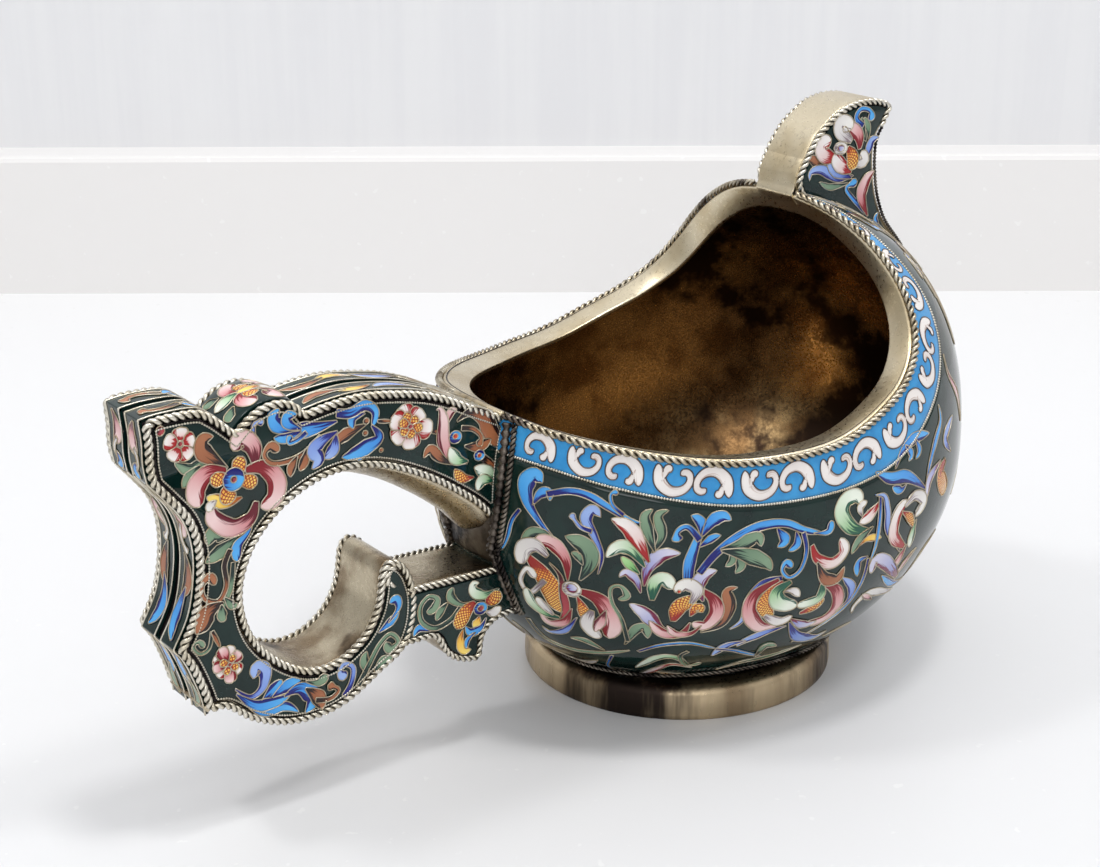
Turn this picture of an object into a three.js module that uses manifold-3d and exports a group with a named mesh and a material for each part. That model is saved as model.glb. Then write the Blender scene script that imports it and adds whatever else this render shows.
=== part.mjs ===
import * as THREE from "three";
import { mergeVertices } from "three/addons/utils/BufferGeometryUtils.js";
import Module from "manifold-3d";

const wasm = await Module();
wasm.setup();

// An enamelled silver ladle of the boat-shaped kind. Millimetres, +Z up, the prow towards +X.
// While it is modelled, X runs from the middle of the bowl and Z from the table that the foot stands on.

// Driving dimensions

const clearance = 0.3; // between pieces that are soldered together on the real ladle
const overrun = 12; // how far a cutting body runs past what it cuts
const weldDistance = 0.0001; // corners of a mesh that are closer are one

const bowl = {
  halfLength: 66.3,
  halfWidth: 53.2,
  equatorHeight: 50.75,
  crownRise: 59.8,
  crownPower: 2.32, // 2 is an ellipse, more is fuller towards the rim
  keelReach: 1.3, // how far under the table the keel would reach if it weren't cut flat
  keelPower: 2,
  baseHeight: 2.3, // the flat under the bowl, inside the foot
  wall: 1.4,
  enamel: 0.8,
};
const keelDrop = bowl.equatorHeight + bowl.keelReach;

const lip = {
  width: 6.2,
  thickness: 1.2,
  proud: 0.35, // its outer edge above the rope's middle
  dip: 0.9, // how far the inner edge drops
};

const rimRope = { radius: 0.85 };
const borderWire = { radius: 0.4 };

const foot = {
  radius: 36,
  setBack: 6, // towards the handle, which balances the ladle
  seatRun: 5, // how far in the shoulder runs under the bowl
  seatGap: 0.91, // under the bowl beside the seat
  shoulderRun: 1.8,
  shoulderRise: 1.2,
  wall: 1.6,
};
const footRope = { radius: 0.55, seatRun: 3.4 };

const handle = {
  jointDepth: 6.3, // how far inside the bowl's end its outline starts
  rimDrop: 6.87, // how far its outline starts below the rim's end
  reach: 84,
  height: 72,
  thickness: 17.6, // over the enamel of the two side plates
  plate: 1,
  enamel: 0.6,
  strip: 1,
  plainStrip: 1.5,
  laneInset: 0.1,
  laneGap: 1.2, // the dark seam between the two enamelled lanes
  bumpRise: 0.4,
};
const handleRope = { radius: 1, proud: 0.5 };

const bracket = {
  jointDepth: 3.8,
  height: 22,
};
const bracketRope = { radius: 0.8, proud: 0.3 };
const jointRope = { radius: 0.8 };

const prow = {
  reach: 36,
  height: 37,
  footDrop: 18.1, // the toe of its front below the rim's end
  toe: 3.5, // how far the toe stands off the bowl
  rootDepth: 3.6,
  thickness: 13.5,
  plate: 0.9,
  enamel: 0.6,
  strip: 1.2,
};
const prowRope = { radius: 0.8, proud: 0.4 };

// Counts of facets
const aroundBowl = 38;
const crownLevels = 9;
const keelLevels = 7;
const rimStations = 26;
const aroundFoot = 32;
const ropeSides = 5;
const seamStations = 7;
const cutFacets = 20;

// Facet lengths, which follow the size of the piece
const outlineFacet = handle.height / 17;
const ropeFacet = handle.height / 14;
const bracketFacet = bracket.height / 9;
const prowFacet = prow.height / 12;

// Limits of the methods below, as shares
const sharpestMitreShare = 0.6; // of the edge normals' mean, so that a sharp corner doesn't run away
const keptInsetShare = 0.985; // of an inset, below which a point has folded back
const endSearchShare = 0.2; // of a curve, where its first place on the bowl is looked for
const searchHalvings = 40;

// Outlines as shares of the sizes above, seen from the camera's side with the prow to the right.
// Each run is one smooth stretch, and two runs meet in a corner.

// x in half lengths of the bowl, z in rises of the crown above the equator
const rimShares = [
  [-0.97, 0.41], [-0.91, 0.375], [-0.795, 0.335], [-0.52, 0.28], [-0.3, 0.27], [-0.08, 0.29], [0.14, 0.37],
  [0.255, 0.435], [0.34, 0.525], [0.38, 0.64], [0.38, 0.765], [0.355, 0.88], [0.31, 0.967],
];
const borderShares = [
  [-1.02, 0.27], [-0.93, 0.25], [-0.76, 0.19], [-0.52, 0.13], [-0.3, 0.112], [-0.02, 0.12], [0.2, 0.175],
  [0.4, 0.31], [0.5, 0.44], [0.53, 0.56], [0.51, 0.69], [0.45, 0.82], [0.39, 0.92], [0.33, 1.0],
];

// x in reaches of the handle, z in its height
const topRunShares = [[-0.08, 0.7], [0.014, 0.767], [0.11, 0.825], [0.2, 0.878], [0.29, 0.912],
  [0.415, 0.937], [0.51, 0.934], [0.58, 0.922]];
const bumpRunShares = [[0.58, 0.922], [0.604, 0.955], [0.65, 0.972], [0.7, 0.963], [0.735, 0.94],
  [0.761, 0.915]];
const earRunShares = [[0.761, 0.915], [0.79, 0.947], [0.815, 0.972], [0.85, 0.995], [0.93, 1],
  [0.987, 0.994]];
const earEndRunShares = [[0.987, 0.994], [0.982, 0.93], [0.983, 0.868], [0.976, 0.814]];
const backRunShares = [[0.976, 0.814], [0.937, 0.758], [0.898, 0.694], [0.879, 0.615], [0.88, 0.525],
  [0.9, 0.419], [0.943, 0.328]];
const lowerBackRunShares = [[0.943, 0.328], [0.918, 0.286], [0.896, 0.221], [0.88, 0.158], [0.873, 0.101]];
const bottomRunShares = [[0.873, 0.101], [0.852, 0.122], [0.825, 0.118], [0.765, 0.06], [0.681, 0.014],
  [0.593, 0.002], [0.502, 0.031], [0.408, 0.089], [0.34, 0.142], [0.306, 0.21], [0.294, 0.29], [0.305, 0.36],
  [0.325, 0.403]];
const voluteRunShares = [[0.325, 0.403], [0.35, 0.422], [0.378, 0.42], [0.396, 0.386]];
const loopRunShares = [[0.396, 0.386], [0.402, 0.33], [0.415, 0.275], [0.452, 0.212], [0.52, 0.166],
  [0.595, 0.165], [0.671, 0.215], [0.736, 0.3], [0.764, 0.394], [0.76, 0.488], [0.721, 0.583], [0.65, 0.664],
  [0.562, 0.722], [0.475, 0.742], [0.387, 0.727], [0.298, 0.683], [0.207, 0.62], [0.114, 0.537], [0.052, 0.465],
  [-0.06, 0.36]];
const bracketRootShares = [0.3155, 0.0139]; // where the bracket's own shares start
const armSeamLowShare = 0.42;

// x in lengths of the bracket from the hook, z in its height
const bracketTopShares = [[1.22, 0.94], [-0.06, 1]];
const bracketUnderShares = [[-0.15, 0.41], [0.1, 0.405], [0.25, 0.395], [0.304, 0.336]];
const pendantShares = [[0.304, 0.336], [0.35, 0.22], [0.42, 0.13], [0.53, 0.055], [0.65, 0.02], [0.754, 0]];
const pendantEndShares = [[0.754, 0], [0.772, 0.12], [0.79, 0.25], [0.86, 0.335], [0.96, 0.385],
  [1.25, 0.4]];
const bracketSeamShares = [0.43, 0.92]; // from and to, in its height

// x in reaches of the prow, z in its height
const prowBackShares = [[0.11, 0.365], [0.02, 0.49], [0.006, 0.565], [0.05, 0.66], [0.106, 0.751],
  [0.181, 0.841], [0.286, 0.919], [0.392, 0.973], [0.542, 1], [0.697, 0.99], [0.803, 0.955], [0.838, 0.935]];
const prowBeakShares = [[0.838, 0.935], [0.815, 0.9], [0.783, 0.849], [0.753, 0.795]];
const prowFrontShares = [[0.753, 0.795], [0.717, 0.745], [0.703, 0.68], [0.703, 0.605], [0.71, 0.53],
  [0.742, 0.378]];
const prowSeatShares = [-0.0125, 0.4886]; // where the rim's end meets the prow's outline

// From the prow's neck to its toe: how far off the bowl, in toes, and below the rim, in drops of the foot
const prowFootShares = [[1.57, 0.553], [1.11, 0.815], [1, 1]];
const prowRootShare = 1.145; // in drops of the foot

// The foot's fine rope, in its stand-offs: the room it needs over the foot, how far it hangs, how far it moves
const footRopeShares = { room: 2.4, hang: 1.25, step: 0.1 };

// Solids from three.js geometries and back

function solidOf(geometry) {
  const bare = geometry.clone();
  bare.deleteAttribute("normal");
  bare.deleteAttribute("uv");
  const merged = mergeVertices(bare, weldDistance);
  return new wasm.Manifold(new wasm.Mesh({
    numProp: 3,
    vertProperties: new Float32Array(merged.attributes.position.array),
    triVerts: new Uint32Array(merged.index.array),
  }));
}

function geometryOf(solid) {
  const mesh = solid.getMesh();
  const geometry = new THREE.BufferGeometry();
  geometry.setAttribute("position", new THREE.BufferAttribute(new Float32Array(mesh.vertProperties), 3));
  geometry.setIndex(Array.from(mesh.triVerts));
  geometry.computeVertexNormals();
  return geometry;
}

// The largest body that a cut leaves, without the slivers beside it.
function mainBody(solid) {
  return solid.decompose().reduce((most, body) => (body.volume() > most.volume() ? body : most));
}

// Outlines

function spaced(points, facet) {
  const curve = new THREE.SplineCurve(points);
  return curve.getSpacedPoints(Math.max(2, Math.round(curve.getLength() / facet)));
}

function placedShares(shares, originX, lengthX, originZ, lengthZ) {
  return shares.map(([x, z]) => new THREE.Vector2(originX + x * lengthX, originZ + z * lengthZ));
}

const onBowlSide = (shares) => placedShares(shares, 0, bowl.halfLength, bowl.equatorHeight, bowl.crownRise);
const [rimEnd] = onBowlSide(rimShares);
const rimFront = onBowlSide(rimShares).at(-1);

// The handle's outline starts inside the bowl under the rim's end, so its foot hangs from there.
const handleJointX = handle.jointDepth - bowl.halfLength;
const handleBottom = rimEnd.y - handle.rimDrop - topRunShares[0][1] * handle.height;
const onHandle = (shares) => placedShares(shares, handleJointX, -handle.reach, handleBottom, handle.height);

// The bracket runs from the hook into the bowl.
const [bracketRoot] = onHandle([bracketRootShares]);
const bracketLength = bracket.jointDepth - bowl.halfLength - bracketRoot.x;
const onBracket = (shares) =>
  placedShares(shares, bracketRoot.x, bracketLength, bracketRoot.y, bracket.height);

// The prow stands on the rim's front end.
const prowX = rimFront.x - prowSeatShares[0] * prow.reach;
const prowBottom = rimFront.y - prowSeatShares[1] * prow.height;
const onProw = (shares) => placedShares(shares, prowX, prow.reach, prowBottom, prow.height);

// Joins runs into one closed outline, and remembers where each run starts and ends.
function joinRuns(runs) {
  const points = [];
  const spans = [];
  for (const run of runs) {
    spans.push([points.length, points.length + run.length - 1]);
    points.push(...run.slice(0, -1));
  }
  return { points, spans };
}

// The mean of the two edge normals at each point, long enough to keep the edges parallel.
function mitres(points) {
  const count = points.length;
  const area = points.reduce((sum, point, index) => sum + point.cross(points[(index + 1) % count]), 0);
  const inward = Math.sign(area);
  return points.map((point, index) => {
    const before = point.clone().sub(points[(index + count - 1) % count]).normalize();
    const after = points[(index + 1) % count].clone().sub(point).normalize();
    const normal = new THREE.Vector2(-before.y - after.y, before.x + after.x).multiplyScalar(inward);
    const spread = Math.max(normal.length() / 2, sharpestMitreShare);
    return normal.normalize().divideScalar(spread);
  });
}

function insetOutline(points, distance) {
  const directions = mitres(points);
  return points.map((point, index) => point.clone().addScaledVector(directions[index], distance));
}

function distanceToOutline(point, outline) {
  let least = Infinity;
  outline.forEach((start, index) => {
    const edge = outline[(index + 1) % outline.length].clone().sub(start);
    const along = point.clone().sub(start).dot(edge) / edge.lengthSq();
    const nearest = start.clone().addScaledVector(edge, THREE.MathUtils.clamp(along, 0, 1));
    least = Math.min(least, nearest.distanceTo(point));
  });
  return least;
}

// An inset that drops the points which a tight corner would turn back on themselves.
function cleanInset(points, distance) {
  const least = distance * keptInsetShare;
  return insetOutline(points, distance).filter((point) => distanceToOutline(point, points) > least);
}

function edgesCross(points, first, second) {
  const [start, end] = [points[first], points[first + 1]];
  const [otherStart, otherEnd] = [points[second], points[(second + 1) % points.length]];
  const side = (from, to, point) => Math.sign(to.clone().sub(from).cross(point.clone().sub(from)));
  const isBeside = side(start, end, otherStart) === side(start, end, otherEnd);
  const isApart = side(otherStart, otherEnd, start) === side(otherStart, otherEnd, end);
  return otherEnd !== start && !isBeside && !isApart;
}

// An outline without the small loops that an inset leaves where it folds back.
function withoutLoops(points) {
  for (let first = 0; first < points.length - 2; first++) {
    for (let second = first + 2; second < points.length; second++) {
      if (!edgesCross(points, first, second)) continue;
      const loop = points.slice(first + 1, second + 1);
      const rest = [...points.slice(0, first + 1), ...points.slice(second + 1)];
      return withoutLoops(loop.length < rest.length ? rest : loop);
    }
  }
  return points;
}

// Bodies

// A slab of an outline in the side view, from one Y to a greater one.
function slab(outline, nearY, farY) {
  const shape = new THREE.Shape(withoutLoops(outline));
  const geometry = new THREE.ExtrudeGeometry(shape, { depth: farY - nearY, bevelEnabled: false });
  geometry.rotateX(Math.PI / 2);
  geometry.translate(0, farY, 0);
  return solidOf(geometry);
}

// A band that follows part of an outline, between two insets from it.
function band(outline, span, outerInset, innerInset, nearY, farY) {
  const [first, last] = span;
  const count = outline.length;
  const edgeAt = (distance) => {
    const moved = insetOutline(outline, distance);
    const part = Array.from({ length: last - first + 1 }, (_, index) => moved[(first + index) % count]);
    return part.filter((point) => distanceToOutline(point, outline) > distance * keptInsetShare);
  };
  const [outer, inner] = [edgeAt(outerInset), edgeAt(innerInset)];
  for (const edge of [outer, inner]) pullEndsIn(edge, clearance / 2);
  return slab([...outer, ...inner.reverse()], nearY, farY);
}

function pullEndsIn(points, distance) {
  const shorten = (end, next) => end.add(next.clone().sub(end).setLength(distance));
  shorten(points[0], points[1]);
  shorten(points.at(-1), points.at(-2));
}

// A round tube through points in space.
function tube(points, radius, facet) {
  const path = new THREE.CatmullRomCurve3(points);
  const section = new THREE.Shape(
    Array.from({ length: ropeSides }, (_, index) => {
      const turn = (2 * Math.PI * index) / ropeSides;
      return new THREE.Vector2(radius * Math.cos(turn), radius * Math.sin(turn));
    }),
  );
  const steps = Math.max(2, Math.round(path.getLength() / facet));
  return solidOf(new THREE.ExtrudeGeometry(section, { steps, extrudePath: path, bevelEnabled: false }));
}

const inSideView = (points, y) => points.map((point) => new THREE.Vector3(point.x, y, point.y));

// A closed ring of four-cornered sections.
function ringOf(sections) {
  const corners = sections[0].length;
  const positions = sections.flat().flatMap((point) => point.toArray());
  const index = [];
  sections.forEach((_, station) => {
    const next = (station + 1) % sections.length;
    for (let corner = 0; corner < corners; corner++) {
      const [a, b] = [station * corners + corner, station * corners + ((corner + 1) % corners)];
      const [c, d] = [next * corners + corner, next * corners + ((corner + 1) % corners)];
      index.push(a, c, b, b, c, d);
    }
  });
  const geometry = new THREE.BufferGeometry();
  geometry.setAttribute("position", new THREE.Float32BufferAttribute(positions, 3));
  geometry.setIndex(index);
  return solidOf(geometry);
}

// The bowl's ovoid

// Half sizes of the ovoid that lies an inset inside the outer surface.
function ovoidSizes(inset) {
  return {
    length: bowl.halfLength - inset,
    width: bowl.halfWidth - inset,
    rise: bowl.crownRise - inset,
    drop: keelDrop - inset,
  };
}

// How wide a level of the ovoid is, as a share of the equator.
function levelShare(height, inset) {
  const sizes = ovoidSizes(inset);
  const above = height > bowl.equatorHeight;
  const share = Math.abs(height - bowl.equatorHeight) / (above ? sizes.rise : sizes.drop);
  const power = above ? bowl.crownPower : bowl.keelPower;
  return share >= 1 ? 0 : (1 - share ** power) ** (1 / power);
}

function ovoid(inset, floorHeight) {
  const sizes = ovoidSizes(inset);
  const floorShare = (bowl.equatorHeight - floorHeight) / sizes.drop;
  const floorTurn = Math.asin(floorShare ** (bowl.keelPower / 2));
  const profile = [new THREE.Vector2(0, floorHeight)];
  for (let level = keelLevels; level > 0; level--) {
    const turn = (floorTurn * level) / keelLevels;
    const height = bowl.equatorHeight - sizes.drop * Math.sin(turn) ** (2 / bowl.keelPower);
    profile.push(new THREE.Vector2(Math.cos(turn) ** (2 / bowl.keelPower), height));
  }
  for (let level = 0; level < crownLevels; level++) {
    const turn = (Math.PI / 2) * (level / crownLevels);
    const height = bowl.equatorHeight + sizes.rise * Math.sin(turn) ** (2 / bowl.crownPower);
    profile.push(new THREE.Vector2(Math.cos(turn) ** (2 / bowl.crownPower), height));
  }
  profile.push(new THREE.Vector2(0, bowl.equatorHeight + sizes.rise));
  const geometry = new THREE.LatheGeometry(profile, aroundBowl);
  geometry.rotateX(Math.PI / 2);
  geometry.scale(sizes.length, sizes.width, 1);
  return solidOf(geometry);
}

// The half width of the outer surface at a place in the side view, 0 outside it.
function halfWidthAt(x, height) {
  const reach = levelShare(height, 0) ** 2 - (x / bowl.halfLength) ** 2;
  return reach > 0 ? bowl.halfWidth * Math.sqrt(reach) : 0;
}

// How far the outer surface reaches towards the handle at a height and a distance from the middle plane.
function endReachAt(y, height) {
  return bowl.halfLength * Math.sqrt(levelShare(height, 0) ** 2 - (y / bowl.halfWidth) ** 2);
}

// The rim, a cut across the ovoid that is straight from side to side

const rimCurve = new THREE.SplineCurve(onBowlSide(rimShares));
const borderCurve = new THREE.SplineCurve(onBowlSide(borderShares));

// Shifts a side-view curve to its left, which is up and towards the handle on these curves.
function shiftedCurve(curve, distance) {
  return curve.getSpacedPoints(cutFacets).map((point, index) => {
    const along = curve.getTangentAt(index / cutFacets);
    return new THREE.Vector2(point.x - along.y * distance, point.y + along.x * distance);
  });
}

const outside = {
  left: -bowl.halfLength - overrun,
  right: bowl.halfLength + overrun,
  top: bowl.equatorHeight + bowl.crownRise + overrun,
  bottom: -overrun,
  side: bowl.halfWidth + overrun,
};

function regionAbove(curvePoints) {
  const [first, last] = [curvePoints[0], curvePoints.at(-1)];
  const outline = [
    ...curvePoints,
    new THREE.Vector2(last.x, outside.top),
    new THREE.Vector2(outside.left, outside.top),
    new THREE.Vector2(outside.left, first.y),
  ];
  return slab(outline, -outside.side, outside.side);
}

function regionBelow(curvePoints) {
  const [first, last] = [curvePoints[0], curvePoints.at(-1)];
  const outline = [
    ...curvePoints,
    new THREE.Vector2(last.x, outside.top),
    new THREE.Vector2(outside.right, outside.top),
    new THREE.Vector2(outside.right, outside.bottom),
    new THREE.Vector2(outside.left, outside.bottom),
    new THREE.Vector2(outside.left, first.y),
  ];
  return slab(outline, -outside.side, outside.side);
}

// Stations along a side-view curve where it lies on the ovoid, closer together towards its handle end.
function stationsOn(curve) {
  const halfWidth = (share) => {
    const point = curve.getPointAt(share);
    return halfWidthAt(point.x, point.y);
  };
  let [low, high] = [0, endSearchShare];
  for (let halving = 0; halving < searchHalvings; halving++) {
    const middle = (low + high) / 2;
    if (halfWidth(middle) > 0) high = middle;
    else low = middle;
  }
  return Array.from({ length: rimStations + 1 }, (_, index) => {
    const turn = (Math.PI / 2) * (index / rimStations);
    const share = high + (1 - high) * (1 - Math.cos(turn));
    return { share, halfWidth: halfWidth(share) };
  });
}

// From the rim's sheet, rolled out flat, back into space: along the cut, across it and up from it.
function onCut(along, across, up) {
  const share = THREE.MathUtils.clamp(along / rimCurve.getLength(), 0, 1);
  const point = rimCurve.getPointAt(share);
  const tangent = rimCurve.getTangentAt(share);
  return new THREE.Vector3(point.x - tangent.y * up, across, point.y + tangent.x * up);
}

const rimHalf = stationsOn(rimCurve).map(
  ({ share, halfWidth }) => new THREE.Vector2(share * rimCurve.getLength(), halfWidth),
);
const rimOtherHalf = rimHalf.slice(1).map((point) => new THREE.Vector2(point.x, -point.y));
const rimFlat = [...rimHalf, ...rimOtherHalf.reverse()];

function makeRimLip() {
  const outer = insetOutline(rimFlat, rimRope.radius + clearance);
  const inner = insetOutline(rimFlat, rimRope.radius + clearance + lip.width);
  const sections = rimFlat.map((_, index) => [
    onCut(outer[index].x, outer[index].y, lip.proud),
    onCut(outer[index].x, outer[index].y, lip.proud - lip.thickness),
    onCut(inner[index].x, inner[index].y, lip.proud - lip.dip - lip.thickness),
    onCut(inner[index].x, inner[index].y, lip.proud - lip.dip),
  ]);
  return ringOf(sections);
}

// The rim rope's path, from one side of the prow round the handle end to the other.
function rimRopePath(gapAtProw) {
  const half = rimHalf.filter((point) => point.y > gapAtProw || point.x < rimCurve.getLength() / 2);
  const whole = [...half.slice(1).reverse(), ...half.map((point) => new THREE.Vector2(point.x, -point.y))];
  return whole.map((point) => onCut(point.x, point.y, 0));
}

const prowHalf = prow.thickness / 2 + prowRope.proud;
const rimPath = rimRopePath(prowHalf + rimRope.radius + clearance);

// Everything of the bowl that its neighbours have to clear
const rimRopeEnvelope = tube(rimPath, rimRope.radius + clearance, ropeFacet);
const bowlEnvelope = ovoid(-clearance, bowl.baseHeight).add(rimRopeEnvelope);

function fittedToBowl(solid) {
  return mainBody(solid.subtract(bowlEnvelope));
}

// The handle: two side plates and the strips between them

const handleRuns = [
  topRunShares, bumpRunShares, earRunShares, earEndRunShares, backRunShares, lowerBackRunShares,
  bottomRunShares, voluteRunShares, loopRunShares,
].map((shares) => spaced(onHandle(shares), outlineFacet));
const handleOutline = joinRuns([...handleRuns, [handleRuns.at(-1).at(-1), handleRuns[0][0]]]);
const [topSpan, bumpSpan, earSpan, earEndSpan, backSpan, lowerBackSpan, bottomSpan, voluteSpan, loopSpan] =
  handleOutline.spans;

const handleHalf = handle.thickness / 2;
const plateInset = 2 * handleRope.radius + 2 * clearance;
const stripHalf = handleHalf + handleRope.proud - 2 * handleRope.radius - clearance;
const enamelledStripInset = handle.laneInset + handle.enamel + clearance;

function sidePlate(outline, inset, outerY, thickness) {
  return fittedToBowl(slab(cleanInset(outline, inset), -outerY, -outerY + thickness));
}

const handleSide = (outerY, thickness) => sidePlate(handleOutline.points, plateInset, outerY, thickness);

function handleStrip(span, inset, thickness) {
  return fittedToBowl(band(handleOutline.points, span, inset, inset + thickness, -stripHalf, stripHalf));
}

// The bottom strip butts against the lower back strip at the tip.
function makeBottomStrip() {
  const inner = enamelledStripInset + handle.strip + clearance;
  const back = band(handleOutline.points, lowerBackSpan, -clearance, inner, -handleHalf, handleHalf);
  return mainBody(plainStrip(bottomSpan).subtract(back));
}

const enamelledStrip = (span) => handleStrip(span, enamelledStripInset, handle.strip);
const plainStrip = (span) => handleStrip(span, handleRope.radius / 2, handle.plainStrip);

// One of the two enamelled lanes of a strip, on the camera's side.
function lane(span) {
  const inner = handle.laneInset + handle.enamel;
  const lanes = band(handleOutline.points, span, handle.laneInset, inner, -stripHalf, -handle.laneGap / 2);
  return fittedToBowl(lanes);
}

// The bump has one raised panel over its whole width.
function makeBumpEnamel() {
  const inner = handle.laneInset + handle.enamel;
  return band(handleOutline.points, bumpSpan, -handle.bumpRise, inner, -stripHalf, stripHalf);
}

// The path of a rope laid in the corner of a box, along part of its outline.
function ropePath(outline, first, last, radius, outerY) {
  const line = insetOutline(outline, radius);
  return inSideView(line.slice(first, last + 1), -(outerY - radius));
}

function makeHandleRope() {
  const outerY = handleHalf + handleRope.proud;
  const path = ropePath(handleOutline.points, topSpan[0], loopSpan[1] - 1, handleRope.radius, outerY);
  return fittedToBowl(tube(path, handleRope.radius, ropeFacet));
}

// The ropes that hide the seams between the side plates and the bowl
const seamY = handleHalf + clearance + jointRope.radius;

// The arm's seam rope ends under the rim rope, where the rim is as far from the middle plane.
function armSeamHeights() {
  const beside = rimHalf.find((point) => point.y > seamY);
  const rimHeight = onCut(beside.x, beside.y, 0).z;
  const low = handleBottom + handle.height * armSeamLowShare;
  return [low, rimHeight - rimRope.radius - jointRope.radius - clearance];
}

const armSeam = armSeamHeights();
const bracketSeam = bracketSeamShares.map((share) => bracketRoot.y + bracket.height * share);

function seamTube([low, high], y, around) {
  const path = Array.from({ length: seamStations }, (_, index) => {
    const height = THREE.MathUtils.lerp(low - around, high + around, index / (seamStations - 1));
    return new THREE.Vector3(-endReachAt(y, height), y, height);
  });
  return tube(path, jointRope.radius + around, ropeFacet);
}

// The bracket between the hook and the bowl

const bracketCurve = (shares) => spaced(onBracket(shares), bracketFacet);
const bracketRuns = [
  onBracket(bracketTopShares),
  ...[bracketUnderShares, pendantShares, pendantEndShares].map(bracketCurve),
];
const bracketOutline = joinRuns([
  bracketRuns[0],
  [bracketRuns[0].at(-1), bracketRuns[1][0]],
  ...bracketRuns.slice(1),
  [bracketRuns.at(-1).at(-1), bracketRuns[0][0]],
]);
const [bracketTopSpan, , bracketUnderSpan, , pendantEndSpan] = bracketOutline.spans;
const hookBlock = slab(insetOutline(handleOutline.points, -clearance), -outside.side, outside.side);

function fittedToBracketSeats(solid) {
  return mainBody(solid.subtract(hookBlock).subtract(bowlEnvelope));
}

const bracketPlateInset = 2 * bracketRope.radius + clearance;
const bracketStripHalf = handleHalf + bracketRope.proud - 2 * bracketRope.radius - clearance;

function bracketStrip(firstSpan, lastSpan) {
  const span = [firstSpan[0], lastSpan[1]];
  const outer = bracketRope.radius / 2;
  const inner = outer + handle.strip;
  return fittedToBracketSeats(
    band(bracketOutline.points, span, outer, inner, -bracketStripHalf, bracketStripHalf),
  );
}

function bracketPlate(outerY, thickness) {
  const outline = cleanInset(bracketOutline.points, bracketPlateInset);
  return fittedToBracketSeats(slab(outline, -outerY, -outerY + thickness));
}

function bracketRopeAlong(firstSpan, lastSpan) {
  const outerY = handleHalf + bracketRope.proud;
  const path = ropePath(bracketOutline.points, firstSpan[0], lastSpan[1], bracketRope.radius, outerY);
  return fittedToBracketSeats(tube(path, bracketRope.radius, bracketFacet));
}

// The prow: two side plates, a plain inner strip that the lip runs into, and a front strip

// A place beside the bowl's front: a stand-off from its outside and a drop below the rim's front end.
function besideFront(standOff, drop) {
  const height = rimFront.y - drop;
  return new THREE.Vector2(endReachAt(0, height) + standOff, height);
}

const prowFoot = prowFootShares.map(([off, down]) => besideFront(off * prow.toe, down * prow.footDrop));
const prowRoot = besideFront(-prow.rootDepth, prowRootShare * prow.footDrop);
const prowRuns = [
  onProw(prowBackShares),
  onProw(prowBeakShares),
  [...onProw(prowFrontShares), ...prowFoot],
  [prowFoot.at(-1), prowRoot],
].map((points) => spaced(points, prowFacet));
const prowOutline = joinRuns([...prowRuns, [prowRuns.at(-1).at(-1), prowRuns[0][0]]]);
const [prowBackSpan, prowBeakSpan, prowFrontSpan] = prowOutline.spans;
const prowStripHalf = prow.thickness / 2 + prowRope.proud - 2 * prowRope.radius - clearance;

function prowStrip(span) {
  const outer = prowRope.radius / 2;
  const inner = outer + prow.strip;
  return fittedToBowl(band(prowOutline.points, span, outer, inner, -prowStripHalf, prowStripHalf));
}

function prowPlate(outerY, thickness) {
  return sidePlate(prowOutline.points, 2 * prowRope.radius + 2 * clearance, outerY, thickness);
}

function makeProwRope() {
  const path = ropePath(prowOutline.points, prowBackSpan[0], prowFrontSpan[1], prowRope.radius, prowHalf);
  return fittedToBowl(tube(path, prowRope.radius, prowFacet));
}

// The bowl's own pieces

function makeBowlShell() {
  const outerInset = bowl.enamel + clearance;
  const innerInset = outerInset + bowl.wall;
  const hollow = ovoid(innerInset, bowl.baseHeight + bowl.wall);
  const mouth = regionAbove(shiftedCurve(rimCurve, lip.proud - lip.thickness - 2 * clearance));
  return mainBody(ovoid(outerInset, bowl.baseHeight).subtract(hollow).subtract(mouth));
}

const enamelSkin = ovoid(0, bowl.baseHeight).subtract(ovoid(bowl.enamel, bowl.baseHeight));

// The patches of the skin that the handle, the bracket and the prow stand on
const armSeat = slab(insetOutline(handleOutline.points, -clearance), -seamY, seamY);
const bracketSeat = slab(insetOutline(bracketOutline.points, -clearance), -seamY, seamY);
const prowSeatHalf = prowHalf + clearance;
const prowSeat = slab(insetOutline(prowOutline.points, -clearance), -prowSeatHalf, prowSeatHalf);
const seamGrooves = [armSeam, bracketSeam]
  .flatMap((heights) => [-seamY, seamY].map((y) => seamTube(heights, y, clearance)))
  .reduce((all, groove) => all.add(groove));
const seats = armSeat.add(bracketSeat).add(prowSeat).add(seamGrooves);

function makeBorderEnamel() {
  const underRope = regionAbove(shiftedCurve(rimCurve, -rimRope.radius - clearance));
  const overWire = regionBelow(shiftedCurve(borderCurve, borderWire.radius + clearance));
  const farSide = slab(sideViewFrame(), -clearance / 2, outside.side);
  return mainBody(enamelSkin.subtract(underRope).subtract(overWire).subtract(farSide).subtract(seats));
}

function sideViewFrame() {
  return [
    new THREE.Vector2(outside.left, outside.bottom),
    new THREE.Vector2(outside.right, outside.bottom),
    new THREE.Vector2(outside.right, outside.top),
    new THREE.Vector2(outside.left, outside.top),
  ];
}

function makeBowlEnamel() {
  const underWire = regionAbove(shiftedCurve(borderCurve, -borderWire.radius - clearance));
  const seatHeight = 2 * bowl.equatorHeight;
  const footSeat = new THREE.CylinderGeometry(footSeatRadius, footSeatRadius, seatHeight, aroundFoot);
  footSeat.rotateX(Math.PI / 2);
  footSeat.translate(-foot.setBack, 0, 0);
  return mainBody(enamelSkin.subtract(underWire).subtract(solidOf(footSeat)).subtract(seats));
}

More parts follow.
